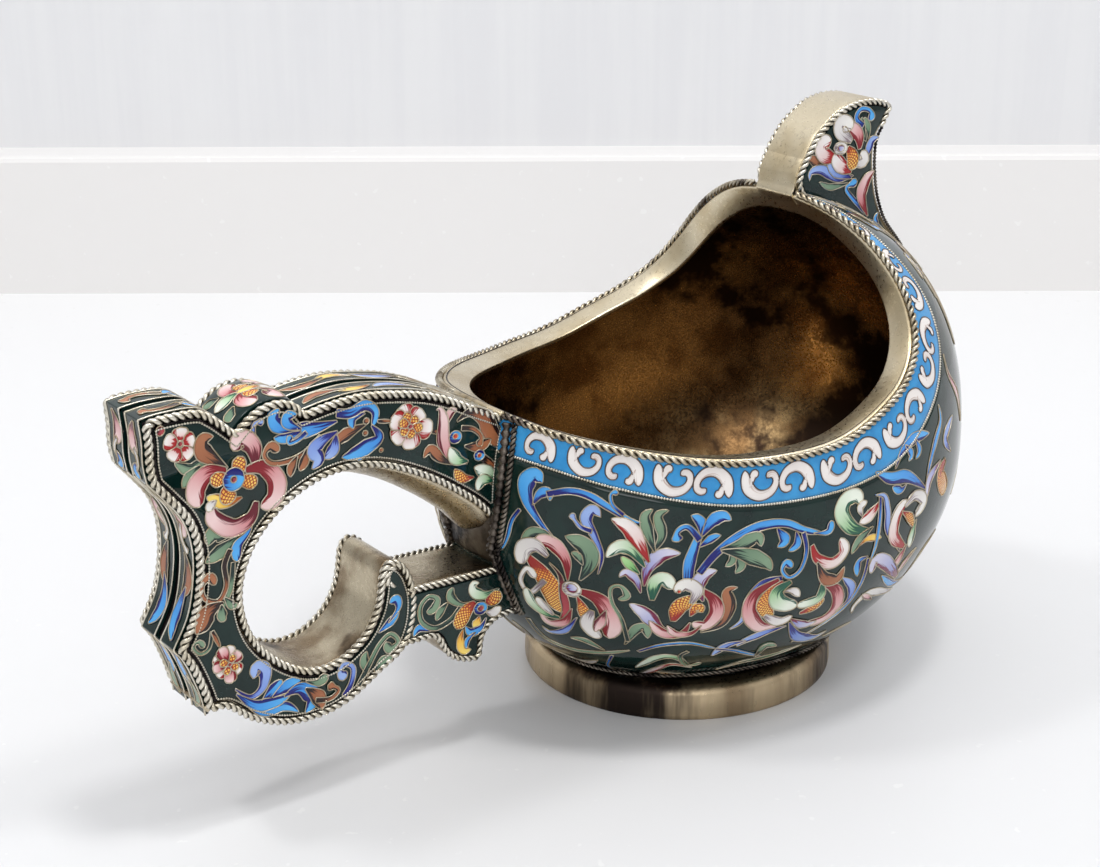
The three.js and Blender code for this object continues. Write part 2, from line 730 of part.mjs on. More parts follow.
// The fine wire between the border and the field, on the camera's side.
function makeBorderWire() {
  const armGap = seamY + jointRope.radius + clearance + borderWire.radius;
  const prowGap = prowHalf + borderWire.radius + 2 * clearance;
  const path = stationsOn(borderCurve)
    .filter(({ share, halfWidth }) => halfWidth > (share < 1 / 2 ? armGap : prowGap))
    .map(({ share, halfWidth }) => {
      const point = borderCurve.getPointAt(share);
      return new THREE.Vector3(point.x, -halfWidth, point.y);
    });
  return tube(path, borderWire.radius, ropeFacet);
}

// The foot ring, whose shoulder lies just under the bowl
const footSeatRadius = foot.radius - foot.seatRun;
const footShoulderRadius = foot.radius - foot.shoulderRun;
const footShoulderHeight = undersideAt(-foot.setBack, footSeatRadius) - foot.seatGap;
const footWallHeight = footShoulderHeight - foot.shoulderRise;

function makeFootRing() {
  const inner = foot.radius - foot.wall;
  const profile = [
    [inner, 0], [foot.radius, 0], [foot.radius, footWallHeight], [footShoulderRadius, footShoulderHeight],
    [footSeatRadius, footShoulderHeight], [footSeatRadius, footShoulderHeight - foot.wall],
    [inner, footWallHeight - foot.wall], [inner, 0],
  ].map(([radius, height]) => new THREE.Vector2(radius, height));
  const geometry = new THREE.LatheGeometry(profile, aroundFoot);
  geometry.rotateX(Math.PI / 2);
  geometry.translate(-foot.setBack, 0, 0);
  return mainBody(solidOf(geometry).subtract(ovoid(-clearance, bowl.baseHeight)));
}

// The height of the bowl's underside over a point of the table.
function undersideAt(x, y) {
  const share = Math.hypot(x / bowl.halfLength, y / bowl.halfWidth);
  return bowl.equatorHeight - keelDrop * (1 - share ** bowl.keelPower) ** (1 / bowl.keelPower);
}

// How high the foot reaches at a distance from its axis.
function footTopAt(radius) {
  const slope = (radius - footShoulderRadius) / foot.shoulderRun;
  return THREE.MathUtils.lerp(footShoulderHeight, footWallHeight, THREE.MathUtils.clamp(slope, 0, 1));
}

// The fine rope under the bowl. It lies on the foot's shoulder, or outside its wall where the bowl is low.
function makeFootRope() {
  const standOff = footRope.radius + clearance;
  const outermost = foot.radius + standOff;
  const path = Array.from({ length: aroundFoot }, (_, index) => {
    const turn = (2 * Math.PI * (index + 1 / 2)) / (aroundFoot + 1 / 2);
    const under = (radius) => undersideAt(radius * Math.cos(turn) - foot.setBack, radius * Math.sin(turn));
    const hasRoom = (radius) => under(radius) > footTopAt(radius) + footRopeShares.room * standOff;
    let radius = foot.radius - footRope.seatRun;
    while (radius < outermost && !hasRoom(radius)) radius += footRopeShares.step * standOff;
    radius = Math.min(radius, outermost);
    return new THREE.Vector3(
      radius * Math.cos(turn) - foot.setBack,
      radius * Math.sin(turn),
      under(radius) - footRopeShares.hang * standOff,
    );
  });
  return tube(path, footRope.radius, ropeFacet);
}

// Finishes

function finish(colour, roughness, metalness) {
  return () => new THREE.MeshStandardMaterial({ color: colour, roughness, metalness });
}

const silver = finish(0xb5ac98, 0.35, 1);
const ropeSilver = finish(0xc4bfb0, 0.4, 1);
const gilt = finish(0x8a6a35, 0.35, 1);
const fieldEnamel = finish(0x22342c, 0.15, 0);
const borderBlue = finish(0x3f9fd6, 0.15, 0);

// Assembly

const ladle = new THREE.Group();

function addPiece(name, solid, material) {
  const piece = new THREE.Mesh(geometryOf(solid), material());
  piece.name = name;
  ladle.add(piece);
  return piece;
}

// The right side is the camera's, and the left side is its mirror image.
function addPair(name, solid, material) {
  addPiece(`${name}_right`, solid, material);
  addPiece(`${name}_left`, solid, material).scale.y = -1;
}

addPiece("bowl_shell", makeBowlShell(), gilt);
addPiece("rim_lip", makeRimLip(), silver);
addPiece("rim_rope", tube(rimPath, rimRope.radius, ropeFacet), ropeSilver);
addPair("border_enamel", makeBorderEnamel(), borderBlue);
addPair("border_wire", makeBorderWire(), ropeSilver);
addPiece("bowl_enamel", makeBowlEnamel(), fieldEnamel);
addPiece("foot_ring", makeFootRing(), silver);
addPiece("foot_rope", makeFootRope(), ropeSilver);

addPair("handle_plate", handleSide(handleHalf - handle.enamel - clearance, handle.plate), silver);
addPair("handle_enamel", handleSide(handleHalf, handle.enamel), fieldEnamel);
addPair("handle_rope", makeHandleRope(), ropeSilver);
addPiece("top_strip", enamelledStrip(topSpan), silver);
addPiece("bump_strip", enamelledStrip(bumpSpan), silver);
addPiece("ear_strip", enamelledStrip(earSpan), silver);
addPiece("ear_end_strip", enamelledStrip(earEndSpan), silver);
addPiece("back_strip", enamelledStrip(backSpan), silver);
addPiece("lower_back_strip", enamelledStrip(lowerBackSpan), silver);
addPiece("bottom_strip", makeBottomStrip(), silver);
addPiece("loop_strip", plainStrip([voluteSpan[0], loopSpan[1]]), silver);
addPair("top_lane", lane(topSpan), fieldEnamel);
addPair("ear_lane", lane(earSpan), fieldEnamel);
addPair("ear_end_lane", lane(earEndSpan), fieldEnamel);
addPair("back_lane", lane(backSpan), fieldEnamel);
addPair("lower_back_lane", lane(lowerBackSpan), fieldEnamel);
addPiece("bump_enamel", makeBumpEnamel(), fieldEnamel);

addPair("arm_seam_rope", seamTube(armSeam, -seamY, 0), ropeSilver);

addPair("bracket_plate", bracketPlate(handleHalf - handle.enamel - clearance, handle.plate), silver);
addPair("bracket_enamel", bracketPlate(handleHalf, handle.enamel), fieldEnamel);
addPiece("bracket_top_strip", bracketStrip(bracketTopSpan, bracketTopSpan), silver);
addPiece("bracket_under_strip", bracketStrip(bracketUnderSpan, pendantEndSpan), silver);
addPair("bracket_top_rope", bracketRopeAlong(bracketTopSpan, bracketTopSpan), ropeSilver);
addPair("bracket_under_rope", bracketRopeAlong(bracketUnderSpan, pendantEndSpan), ropeSilver);
addPair("bracket_seam_rope", seamTube(bracketSeam, -seamY, 0), ropeSilver);

addPair("prow_plate", prowPlate(prow.thickness / 2 - prow.enamel - clearance, prow.plate), silver);
addPair("prow_enamel", prowPlate(prow.thickness / 2, prow.enamel), fieldEnamel);
addPiece("prow_back_strip", prowStrip(prowBackSpan), silver);
addPiece("prow_front_strip", prowStrip([prowBeakSpan[0], prowFrontSpan[1]]), silver);
addPair("prow_rope", makeProwRope(), ropeSilver);

// The origin is under the middle of the whole ladle, on the table.
const reach = new THREE.Box3().setFromObject(ladle);
ladle.position.x = -(reach.min.x + reach.max.x) / 2;

export default ladle;
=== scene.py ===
import math

import bpy
import numpy as np
from mathutils import Matrix, Vector


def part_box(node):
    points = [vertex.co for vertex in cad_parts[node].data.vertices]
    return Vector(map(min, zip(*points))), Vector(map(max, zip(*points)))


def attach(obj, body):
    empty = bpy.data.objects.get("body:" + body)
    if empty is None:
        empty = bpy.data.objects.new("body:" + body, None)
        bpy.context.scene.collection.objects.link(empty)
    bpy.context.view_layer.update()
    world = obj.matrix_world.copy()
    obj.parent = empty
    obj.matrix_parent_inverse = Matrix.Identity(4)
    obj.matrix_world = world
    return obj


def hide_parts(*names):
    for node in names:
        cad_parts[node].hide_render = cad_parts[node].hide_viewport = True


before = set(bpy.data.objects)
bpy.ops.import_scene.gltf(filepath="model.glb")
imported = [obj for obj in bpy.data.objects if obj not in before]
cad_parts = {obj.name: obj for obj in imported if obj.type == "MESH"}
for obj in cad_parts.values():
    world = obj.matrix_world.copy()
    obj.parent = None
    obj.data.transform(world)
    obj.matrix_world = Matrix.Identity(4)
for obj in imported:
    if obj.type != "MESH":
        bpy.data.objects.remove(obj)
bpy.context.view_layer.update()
bpy.ops.object.select_all(action="DESELECT")

# All sizes are millimetres from the middle of the bowl, with Z from the table
shellLow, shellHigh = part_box("bowl_shell")
bowlShift = np.array([(shellLow.x + shellHigh.x) / 2 * 1000, 0, 0])


def toFrame(points):
    return (np.asarray(points, float) + bowlShift) / 1000


# The camera stands where the photograph was taken
photo = {"width": 1100, "height": 867, "focal": 2012.8, "sensor": 36}
cameraPlace = {"turn": -36.70, "rise": 20.06, "roll": -0.16, "distance": 438.5, "lookAt": (-43.4, 0, 63.0)}


def cameraAxes():
    turn, rise, roll = (math.radians(cameraPlace[key]) for key in ("turn", "rise", "roll"))
    back = np.array([math.sin(turn) * math.cos(rise), -math.cos(turn) * math.cos(rise), math.sin(rise)])
    right = np.array([math.cos(turn), math.sin(turn), 0])
    up = np.cross(back, right)
    return math.cos(roll) * right + math.sin(roll) * up, math.cos(roll) * up - math.sin(roll) * right, back


rightAxis, upAxis, backAxis = cameraAxes()
eye = np.array(cameraPlace["lookAt"]) + cameraPlace["distance"] * backAxis


def placeCamera():
    lens = photo["focal"] * photo["sensor"] / photo["width"]
    bpy.ops.object.camera_add()
    camera = bpy.context.object
    camera.name = "photoCamera"
    camera.data.sensor_width = photo["sensor"]
    camera.data.sensor_fit = "HORIZONTAL"
    camera.data.lens = lens
    camera.data.clip_end = 20
    axes = Matrix([rightAxis, upAxis, backAxis]).transposed().to_4x4()
    camera.matrix_world = Matrix.Translation(Vector(toFrame(eye))) @ axes
    bpy.context.scene.camera = camera


placeCamera()
print("camera placed")


# The sight lines through points of the photograph
def sightLines(pixels):
    pixels = np.asarray(pixels, float).reshape(-1, 2)
    across = (pixels[:, :1] - photo["width"] / 2) / photo["focal"]
    down = (pixels[:, 1:] - photo["height"] / 2) / photo["focal"]
    lines = across * rightAxis - down * upAxis - backAxis
    return lines / np.linalg.norm(lines, axis=1, keepdims=True)


# Lines and outlines
def unit(vectors):
    return vectors / np.maximum(np.linalg.norm(vectors, axis=-1, keepdims=True), 1e-9)


def runLength(line):
    return np.concatenate([[0], np.cumsum(np.linalg.norm(np.diff(line, axis=0), axis=1))])


def columnsAt(places, length, rows):
    return np.stack([np.interp(places, length, column) for column in rows.T], axis=-1)


def evenly(line, step=None, count=None):
    length = runLength(line)
    count = count or max(2, round(length[-1] / step) + 1)
    return columnsAt(np.linspace(0, length[-1], count), length, line)


def smoothLine(points, step=None, count=None):
    points = np.asarray(points, float)
    padded = np.vstack([points[:1], points, points[-1:]])
    t = np.linspace(0, 1, 24, endpoint=False)[:, None]
    rows = []
    for a, b, c, d in zip(padded[:-3], padded[1:-2], padded[2:-1], padded[3:]):
        square, cube = 2 * a - 5 * b + 4 * c - d, 3 * b - a - 3 * c + d
        rows.append(b + (c - a) * t / 2 + square * t ** 2 / 2 + cube * t ** 3 / 2)
    return evenly(np.vstack(rows + [points[-1:]]), step, count)


def softened(line, rounds):
    for _ in range(rounds):
        line = np.vstack([line[:1], (line[:-2] + 2 * line[1:-1] + line[2:]) / 4, line[-1:]])
    return line


def inwardNormals(outline):
    following = np.roll(outline, -1, axis=0)
    area = np.sum(outline[:, 0] * following[:, 1] - outline[:, 1] * following[:, 0])
    before = unit(outline - np.roll(outline, 1, axis=0))
    after = unit(following - outline)
    normals = np.stack([-(before + after)[:, 1], (before + after)[:, 0]], axis=1) * np.sign(area)
    spread = np.maximum(np.linalg.norm(normals, axis=1, keepdims=True) / 2, 0.6)
    return unit(normals) / spread


def distanceTo(points, outline):
    following = np.roll(outline, -1, axis=0)
    edge = following - outline
    reach = np.maximum((edge ** 2).sum(1), 1e-12)
    gap = points[:, None] - outline[None]
    along = np.clip((gap * edge[None]).sum(2) / reach, 0, 1)
    return np.linalg.norm(gap - along[..., None] * edge[None], axis=2).min(1)


# An inset without the points that a tight corner folds back, and which points of the outline are left
def insetLine(outline, distance):
    moved = outline + inwardNormals(outline) * distance
    kept = distanceTo(moved, outline) > abs(distance) * 0.985 - 1e-4
    return moved[kept], np.flatnonzero(kept)


def joinRuns(runs):
    points, spans, start = [], [], 0
    for run in runs:
        points.append(run[:-1])
        spans.append((start, start + len(run) - 1))
        start += len(run) - 1
    return np.vstack(points), spans


# The bowl's ovoid
bowl = {
    "halfLength": 66.08, "halfWidth": 53.07, "equator": 50.75, "crownRise": 59.8, "crownPower": 2.32, "keelDrop": 52.05,
    "keelPower": 2, "enamel": 0.8, "insideInset": 2.5, "wall": 1.4, "floor": 3.7,
}


def levelSquare(z, inset=0):
    above = z > bowl["equator"]
    rise = np.where(above, bowl["crownRise"], bowl["keelDrop"]) - inset
    power = np.where(above, bowl["crownPower"], bowl["keelPower"])
    share = np.clip(abs(z - bowl["equator"]) / rise, 0, 1)
    return (1 - share ** power) ** (2 / power)


def halfWidthAt(x, z, inset=0):
    room = levelSquare(z, inset) - (x / (bowl["halfLength"] - inset)) ** 2
    return (bowl["halfWidth"] - inset) * np.sqrt(np.maximum(room, 0))


def endReach(y, z):
    return bowl["halfLength"] * np.sqrt(np.maximum(levelSquare(z) - (y / bowl["halfWidth"]) ** 2, 0))


def onOvoid(azimuth, polar, inset=0):
    wide = np.sin(polar)
    above = polar < math.pi / 2
    power = np.where(above, bowl["crownPower"], bowl["keelPower"])
    rise = np.where(above, bowl["crownRise"] - inset, inset - bowl["keelDrop"])
    share = np.maximum(1 - wide ** power, 0) ** (1 / power)
    x = (bowl["halfLength"] - inset) * wide * np.cos(azimuth)
    y = (bowl["halfWidth"] - inset) * wide * np.sin(azimuth)
    return np.stack(np.broadcast_arrays(x, y, bowl["equator"] + rise * share), axis=-1)


def anglesOf(points, inset=0):
    x, y, z = np.moveaxis(points, -1, 0)
    wide = np.minimum(np.sqrt(levelSquare(z, inset)), 1)
    polar = np.where(z > bowl["equator"], np.arcsin(wide), math.pi - np.arcsin(wide))
    return np.arctan2(y / (bowl["halfWidth"] - inset), x / (bowl["halfLength"] - inset)), polar


# How near and how far from the camera a sight line may meet the bowl
sightReach = (240, 640)


class BowlGround:
    # The outside of the bowl, with the raised enamel laid on it

    def gap(self, points):
        x, y, z = np.moveaxis(points, -1, 0)
        return (x / bowl["halfLength"]) ** 2 + (y / bowl["halfWidth"]) ** 2 - levelSquare(z)

    def slope(self, points):
        x, y, z = np.moveaxis(points, -1, 0)
        nudge = 0.02
        rise = (levelSquare(z + nudge) - levelSquare(z - nudge)) / (2 * nudge)
        return np.stack([2 * x / bowl["halfLength"] ** 2, 2 * y / bowl["halfWidth"] ** 2, -rise], axis=-1)

    def snap(self, points):
        for _ in range(4):
            slope = self.slope(points)
            points = points - (self.gap(points) / (slope ** 2).sum(-1))[..., None] * slope
        return points

    def normal(self, points):
        return unit(self.slope(points))

    def hit(self, pixels):
        lines = sightLines(pixels)
        steps = np.linspace(*sightReach, 401)
        gaps = self.gap(eye + steps[None, :, None] * lines[:, None])
        inside = gaps < 0
        first = np.where(inside.any(1), inside.argmax(1), gaps.argmin(1))
        near, far = steps[np.maximum(first - 1, 0)], steps[first]
        for _ in range(24):
            middle = (near + far) / 2
            inside = self.gap(eye + middle[:, None] * lines) < 0
            near, far = np.where(inside, near, middle), np.where(inside, middle, far)
        return self.snap(eye + far[:, None] * lines)

    def chart(self, points):
        azimuth, polar = anglesOf(points)
        return np.stack([azimuth * np.sin(np.clip(polar, 0.5, 2.6)), polar], axis=-1) * bowl["halfWidth"]


class WallGround:
    # A flat side of the handle, the bracket or the prow

    def __init__(self, y):
        self.y = y

    def snap(self, points):
        flat = np.array(points, float)
        flat[..., 1] = self.y
        return flat

    def normal(self, points):
        return np.broadcast_to([0, np.sign(self.y), 0], np.shape(points)).astype(float)

    def hit(self, pixels):
        lines = sightLines(pixels)
        return self.snap(eye + ((self.y - eye[1]) / lines[:, 1])[:, None] * lines)

    def chart(self, points):
        return np.asarray(points)[..., ::2]


# Side-view curves of the rim and of the border's lower edge, in half lengths of the bowl and rises of its crown
rimShares = [(-0.97, 0.41), (-0.91, 0.375), (-0.795, 0.335), (-0.52, 0.28), (-0.3, 0.27), (-0.08, 0.29), (0.14, 0.37),
             (0.255, 0.435), (0.34, 0.525), (0.38, 0.64), (0.38, 0.765), (0.355, 0.88), (0.31, 0.967)]
borderShares = [(-1.02, 0.27), (-0.93, 0.25), (-0.76, 0.19), (-0.52, 0.13), (-0.3, 0.112), (-0.02, 0.12), (0.2, 0.175),
                (0.4, 0.31), (0.5, 0.44), (0.53, 0.56), (0.51, 0.69), (0.45, 0.82), (0.39, 0.92), (0.33, 1.0)]


def placedShares(shares, x, length, z, height):
    return np.array(shares) * (length, height) + (x, z)


def onBowlSide(shares):
    return placedShares(shares, 0, bowl["halfLength"], bowl["equator"], bowl["crownRise"])


rimLine = smoothLine(onBowlSide(rimShares), step=0.1)
borderLine = smoothLine(onBowlSide(borderShares), step=0.1)


def lineTangents(line):
    return unit(np.gradient(line, axis=0))


# To the left of a side-view curve, which is up and towards the handle
def leftNormals(line):
    return lineTangents(line)[:, ::-1] * (-1, 1)


def shifted(line, distance):
    return line + distance * leftNormals(line)


# Stations along a side-view curve where it lies on the bowl, from the handle's end to the prow
def stationsOn(line, count, inset=0):
    length = runLength(line)

    def crossing(outer, inner):
        for _ in range(40):
            middle = (outer + inner) / 2
            isOn = halfWidthAt(*columnsAt(middle, length, line), inset) > 0
            outer, inner = (outer, middle) if isOn else (middle, inner)
        return inner

    onBowl = np.flatnonzero(halfWidthAt(line[:, 0], line[:, 1], inset) > 0)
    first = crossing(length[onBowl[0] - 1], length[onBowl[0]])
    if onBowl[-1] == len(line) - 1:
        places = first + (length[-1] - first) * (1 - np.cos(np.linspace(0, math.pi / 2, count)))
    else:
        last = crossing(length[onBowl[-1] + 1], length[onBowl[-1]])
        places = first + (last - first) * (1 - np.cos(np.linspace(0, math.pi, count))) / 2
    x, z = columnsAt(places, length, line).T
    return places, np.stack([x, halfWidthAt(x, z, inset), z], axis=1)


def rightSide(line, count):
    return stationsOn(line, count)[1] * (1, -1, 1)


# The bowl's ring along a side-view curve, as polar angles at turns round its axis
def polarAlong(line, azimuths, inset=0):
    azimuth, polar = anglesOf(stationsOn(line, 900, inset)[1], inset)
    order = np.argsort(azimuth)
    return np.interp(abs(azimuths), azimuth[order], polar[order])


# Even stations round the whole mouth, as turns round the bowl's axis
def azimuthsAlong(line, count, inset=0):
    half = stationsOn(line, 900, inset)[1]
    whole = np.vstack([half[:0:-1] * (1, -1, 1), half])
    whole = np.vstack([whole, whole[:1]])
    return anglesOf(evenly(whole, count=count), inset)[0]


# Handle, bracket and prow outlines
handle = {
    "jointX": -60, "reach": 83.9, "bottom": 18, "height": 72, "half": 8.8, "stripHalf": 7.0, "lineStep": 0.55,
    "plate": {"inset": 1.9, "depth": 0.55, "thickness": 1.35}, "enamelInset": 2.25,
}
handleRuns = {
    "top": [(-0.08, 0.7), (0.014, 0.767), (0.11, 0.825), (0.2, 0.878), (0.29, 0.912), (0.415, 0.937), (0.51, 0.934),
            (0.58, 0.922)],
    "bump": [(0.58, 0.922), (0.604, 0.955), (0.65, 0.972), (0.7, 0.963), (0.735, 0.94), (0.761, 0.915)],
    "ear": [(0.761, 0.915), (0.79, 0.947), (0.815, 0.972), (0.85, 0.995), (0.93, 1), (0.987, 0.994)],
    "earEnd": [(0.987, 0.994), (0.982, 0.93), (0.983, 0.868), (0.976, 0.814)],
    "back": [(0.976, 0.814), (0.937, 0.758), (0.898, 0.694), (0.879, 0.615), (0.88, 0.525), (0.9, 0.419),
             (0.943, 0.328)],
    "lowerBack": [(0.943, 0.328), (0.918, 0.286), (0.896, 0.221), (0.88, 0.158), (0.873, 0.101)],
    "bottom": [(0.873, 0.101), (0.852, 0.122), (0.825, 0.118), (0.765, 0.06), (0.681, 0.014), (0.588, 0.0),
               (0.496, 0.019), (0.402, 0.08), (0.332, 0.13), (0.299, 0.202), (0.29, 0.287), (0.304, 0.36),
               (0.325, 0.403)],
    "volute": [(0.325, 0.403), (0.35, 0.422), (0.378, 0.42), (0.396, 0.386)],
    "loop": [(0.396, 0.386), (0.402, 0.33), (0.415, 0.275), (0.452, 0.212), (0.52, 0.166), (0.595, 0.165),
             (0.671, 0.215), (0.736, 0.3), (0.764, 0.394), (0.76, 0.488), (0.721, 0.583), (0.65, 0.66),
             (0.562, 0.709), (0.475, 0.723), (0.387, 0.706), (0.298, 0.663), (0.207, 0.601), (0.114, 0.52),
             (0.052, 0.449), (-0.06, 0.345)],
}
bracket = {
    "hookX": -86.5, "length": 24, "bottom": 19, "height": 22, "stripHalf": 7.3,
    "plate": {"inset": 1.5, "depth": 0.55, "thickness": 1.35}, "enamelInset": 1.75,
}
bracketRuns = {
    "top": [(1.22, 0.94), (-0.06, 1)],
    "under": [(-0.15, 0.41), (0.1, 0.405), (0.25, 0.395), (0.304, 0.336)],
    "pendant": [(0.304, 0.336), (0.35, 0.22), (0.42, 0.13), (0.53, 0.055), (0.65, 0.02), (0.754, 0)],
    "pendantEnd": [(0.754, 0), (0.772, 0.12), (0.79, 0.25), (0.86, 0.335), (0.96, 0.385), (1.25, 0.4)],
}
prow = {
    "baseX": 21, "reach": 36, "bottom": 90.5, "height": 37, "half": 6.75, "stripHalf": 5.3,
    "plate": {"inset": 1.5, "depth": 0.5, "thickness": 1.0}, "enamelInset": 1.85,
}
prowRuns = {
    "back": [(0.11, 0.365), (0.02, 0.49), (0.006, 0.565), (0.05, 0.66), (0.106, 0.751), (0.181, 0.841), (0.286, 0.919),
             (0.392, 0.973), (0.542, 1), (0.697, 0.99), (0.803, 0.955), (0.838, 0.935)],
    "beak": [(0.838, 0.935), (0.815, 0.9), (0.783, 0.849), (0.753, 0.795)],
    "front": [(0.753, 0.795), (0.717, 0.745), (0.703, 0.68), (0.703, 0.605), (0.71, 0.53), (0.742, 0.378),
              (0.817, 0.219), (0.93, 0.09), (1.01, 0)],
    "inside": [(1.01, 0), (0.86, -0.07)],
}


def outlineOf(runs, x, length, z, height):
    lines = {name: smoothLine(placedShares(shares, x, length, z, height), step=handle["lineStep"])
             for name, shares in runs.items()}
    names = list(lines)
    closed = {}
    for name, following in zip(names, names[1:] + names[:1]):
        closed[name] = lines[name]
        link = np.stack([lines[name][-1], lines[following][0]])
        if np.linalg.norm(link[0] - link[1]) > 1e-6:
            closed[name + "Link"] = evenly(link, step=handle["lineStep"])
    points, spans = joinRuns(closed.values())
    return points, dict(zip(closed, spans))


handleOutline, handleSpans = outlineOf(
    handleRuns, handle["jointX"], -handle["reach"], handle["bottom"], handle["height"])
bracketOutline, bracketSpans = outlineOf(
    bracketRuns, bracket["hookX"], bracket["length"], bracket["bottom"], bracket["height"])
prowOutline, prowSpans = outlineOf(prowRuns, prow["baseX"], prow["reach"], prow["bottom"], prow["height"])


# A stretch of an inset outline, softened at its corners
def stretch(outline, span, inset, rounds=0):
    line, kept = insetLine(outline, inset)
    chosen = line[(kept >= span[0]) & (kept <= span[1])]
    return softened(evenly(chosen, step=handle["lineStep"]), rounds)


def inSideView(line, y):
    return np.stack([line[:, 0], np.full(len(line), float(y)), line[:, 1]], axis=1)


# Turning points and faces into pieces
def dressed(piece, material, slot, nodes=()):
    piece.data.materials.clear()
    piece.data.materials.append(material)
    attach(piece, "root")
    if nodes:
        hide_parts(*nodes)
    return piece


def applied(piece, kind, **settings):
    modifier = piece.modifiers.new(kind.title(), kind)
    for key, value in settings.items():
        setattr(modifier, key, value)
    bpy.context.view_layer.objects.active = piece
    bpy.ops.object.modifier_apply(modifier=modifier.name)


def addPiece(name, mesh):
    piece = bpy.data.objects.new(name, mesh)
    bpy.context.collection.objects.link(piece)
    return piece


# Steps taken in edit mode, each on the whole piece
def edited(piece, *steps):
    bpy.ops.object.select_all(action="DESELECT")
    piece.select_set(True)
    bpy.context.view_layer.objects.active = piece
    bpy.ops.object.mode_set(mode="EDIT")
    for step in steps:
        bpy.ops.mesh.select_all(action="SELECT")
        step()
    bpy.ops.object.mode_set(mode="OBJECT")
    bpy.ops.object.select_all(action="DESELECT")
    return piece


def mergeDoubles():
    bpy.ops.mesh.remove_doubles(threshold=1e-6)


def faceOut():
    bpy.ops.mesh.normals_make_consistent(inside=False)


# A mesh whose points carry shares or colours, and brush strokes as a map
def meshPiece(name, points, faces, values=None, brush=None):
    mesh = bpy.data.meshes.new(name)
    mesh.from_pydata(toFrame(points).tolist(), [], faces)
    for key, value in (values or {}).items():
        value = np.asarray(value, float)
        kind, field = ("FLOAT", "value") if value.ndim == 1 else ("FLOAT_COLOR", "color")
        mesh.attributes.new(key, kind, "POINT").data.foreach_set(field, value.ravel())
    if brush is not None:
        corners = np.zeros(len(mesh.loops), int)
        mesh.loops.foreach_get("vertex_index", corners)
        mesh.uv_layers.new(name="brush").data.foreach_set("uv", brush[corners].ravel())
    mesh.shade_smooth()
    return addPiece(name, mesh)


# The same piece on the other side of the ladle
def otherSide(piece, slot, nodes=()):
    twin = addPiece(piece.name.replace("Right", "Left"), piece.data.copy())
    twin.data.transform(Matrix.Scale(-1, 4, (0, 1, 0)))
    twin.data.flip_normals()
    return dressed(twin, piece.data.materials[0], slot, nodes)


# A right-hand piece and its twin, for the node of each side
def dressedPair(piece, material, slot, node=None, sides=("_right", "_left")):
    right, left = ([node + side] if node else [] for side in sides)
    dressed(piece, material, slot, right)
    otherSide(piece, slot, left)


# A sheet of points wrapped from a grid, then given its thickness inwards
def wrappedSheet(name, rows, outward, thickness, bevel=0, closed=False):
    middle = (rows.shape[0] // 2, rows.shape[1] // 2)
    beside = rows[middle] - rows[middle[0], middle[1] - 1]
    beyond = rows[middle] - rows[middle[0] - 1, middle[1]]
    if np.dot(np.cross(beside, beyond), outward) < 0:
        rows = rows[:, ::-1]
    bpy.ops.mesh.primitive_grid_add(x_subdivisions=rows.shape[1] - 1, y_subdivisions=rows.shape[0] - 1, size=1)
    piece = bpy.context.object
    piece.name = name
    piece.data.vertices.foreach_set("co", toFrame(rows).ravel())
    if closed:
        edited(piece, mergeDoubles)
    applied(piece, "SOLIDIFY", thickness=thickness / 1000, offset=-1)
    if bevel:
        applied(piece, "BEVEL", width=bevel / 1000, segments=3, limit_method="ANGLE")
    piece.data.shade_smooth()
    bpy.ops.object.select_all(action="DESELECT")
    return piece


# A flat plate of an outline, from one distance off the middle plane to a smaller one
plateEdge = {"bevel": 0.12, "sharp": math.radians(50), "smooth": math.radians(40)}


def outlinePlate(name, outline, outerY, thickness):
    bpy.ops.mesh.primitive_circle_add(vertices=len(outline), radius=1, fill_type="NGON")
    piece = bpy.context.object
    piece.name = name
    piece.data.vertices.foreach_set("co", toFrame(inSideView(outline, outerY)).ravel())
    inward = -np.sign(outerY) * thickness / 1000
    edited(piece, lambda: bpy.ops.mesh.extrude_region_move(TRANSFORM_OT_translate={"value": (0, inward, 0)}),
           faceOut)
    applied(piece, "BEVEL", width=plateEdge["bevel"] / 1000, segments=2, limit_method="ANGLE",
            angle_limit=plateEdge["sharp"])
    piece.select_set(True)
    bpy.ops.object.shade_smooth_by_angle(angle=plateEdge["smooth"])
    bpy.ops.object.select_all(action="DESELECT")
    return piece


# Wires and ropes
def ringFaces(rings, sides, first=0, closed=False):
    ring = np.arange(rings if closed else rings - 1)[:, None]
    side = np.arange(sides)[None]
    near, far, beside = ring * sides, (ring + 1) % rings * sides, (side + 1) % sides
    quads = np.stack([near + side, near + beside, far + beside, far + side], axis=-1)
    faces = (quads.reshape(-1, 4) + first).tolist()
    if not closed:
        faces.append([first + corner for corner in range(sides)][::-1])
        faces.append([first + (rings - 1) * sides + corner for corner in range(sides)])
    return faces


# Two ways square to a line, the first one near a given way
def squaredOff(line, across):
    tangent = lineTangents(line)
    across = unit(across - (across * tangent).sum(1, keepdims=True) * tangent)
    return across, np.cross(tangent, across)


def tubeAlong(line, across, radius, sides, first=0):
    across, beside = squaredOff(line, across)
    turn = (np.arange(sides) * 2 * math.pi / sides)[None, :, None]
    ring = np.cos(turn) * across[:, None] + np.sin(turn) * beside[:, None]
    radius = np.broadcast_to(radius, len(line))[:, None, None]
    return (line[:, None] + radius * ring).reshape(-1, 3), ringFaces(len(line), sides, first)


def plainTube(line, across, radius, sides):
    points, faces = tubeAlong(line, across, radius, sides)
    return points, faces, np.zeros(len(points))


# A path and the ways across it, at places along it
def followed(path, across, places):
    length = runLength(path)
    return [columnsAt(places, length, rows) for rows in (path, np.broadcast_to(across, path.shape))]


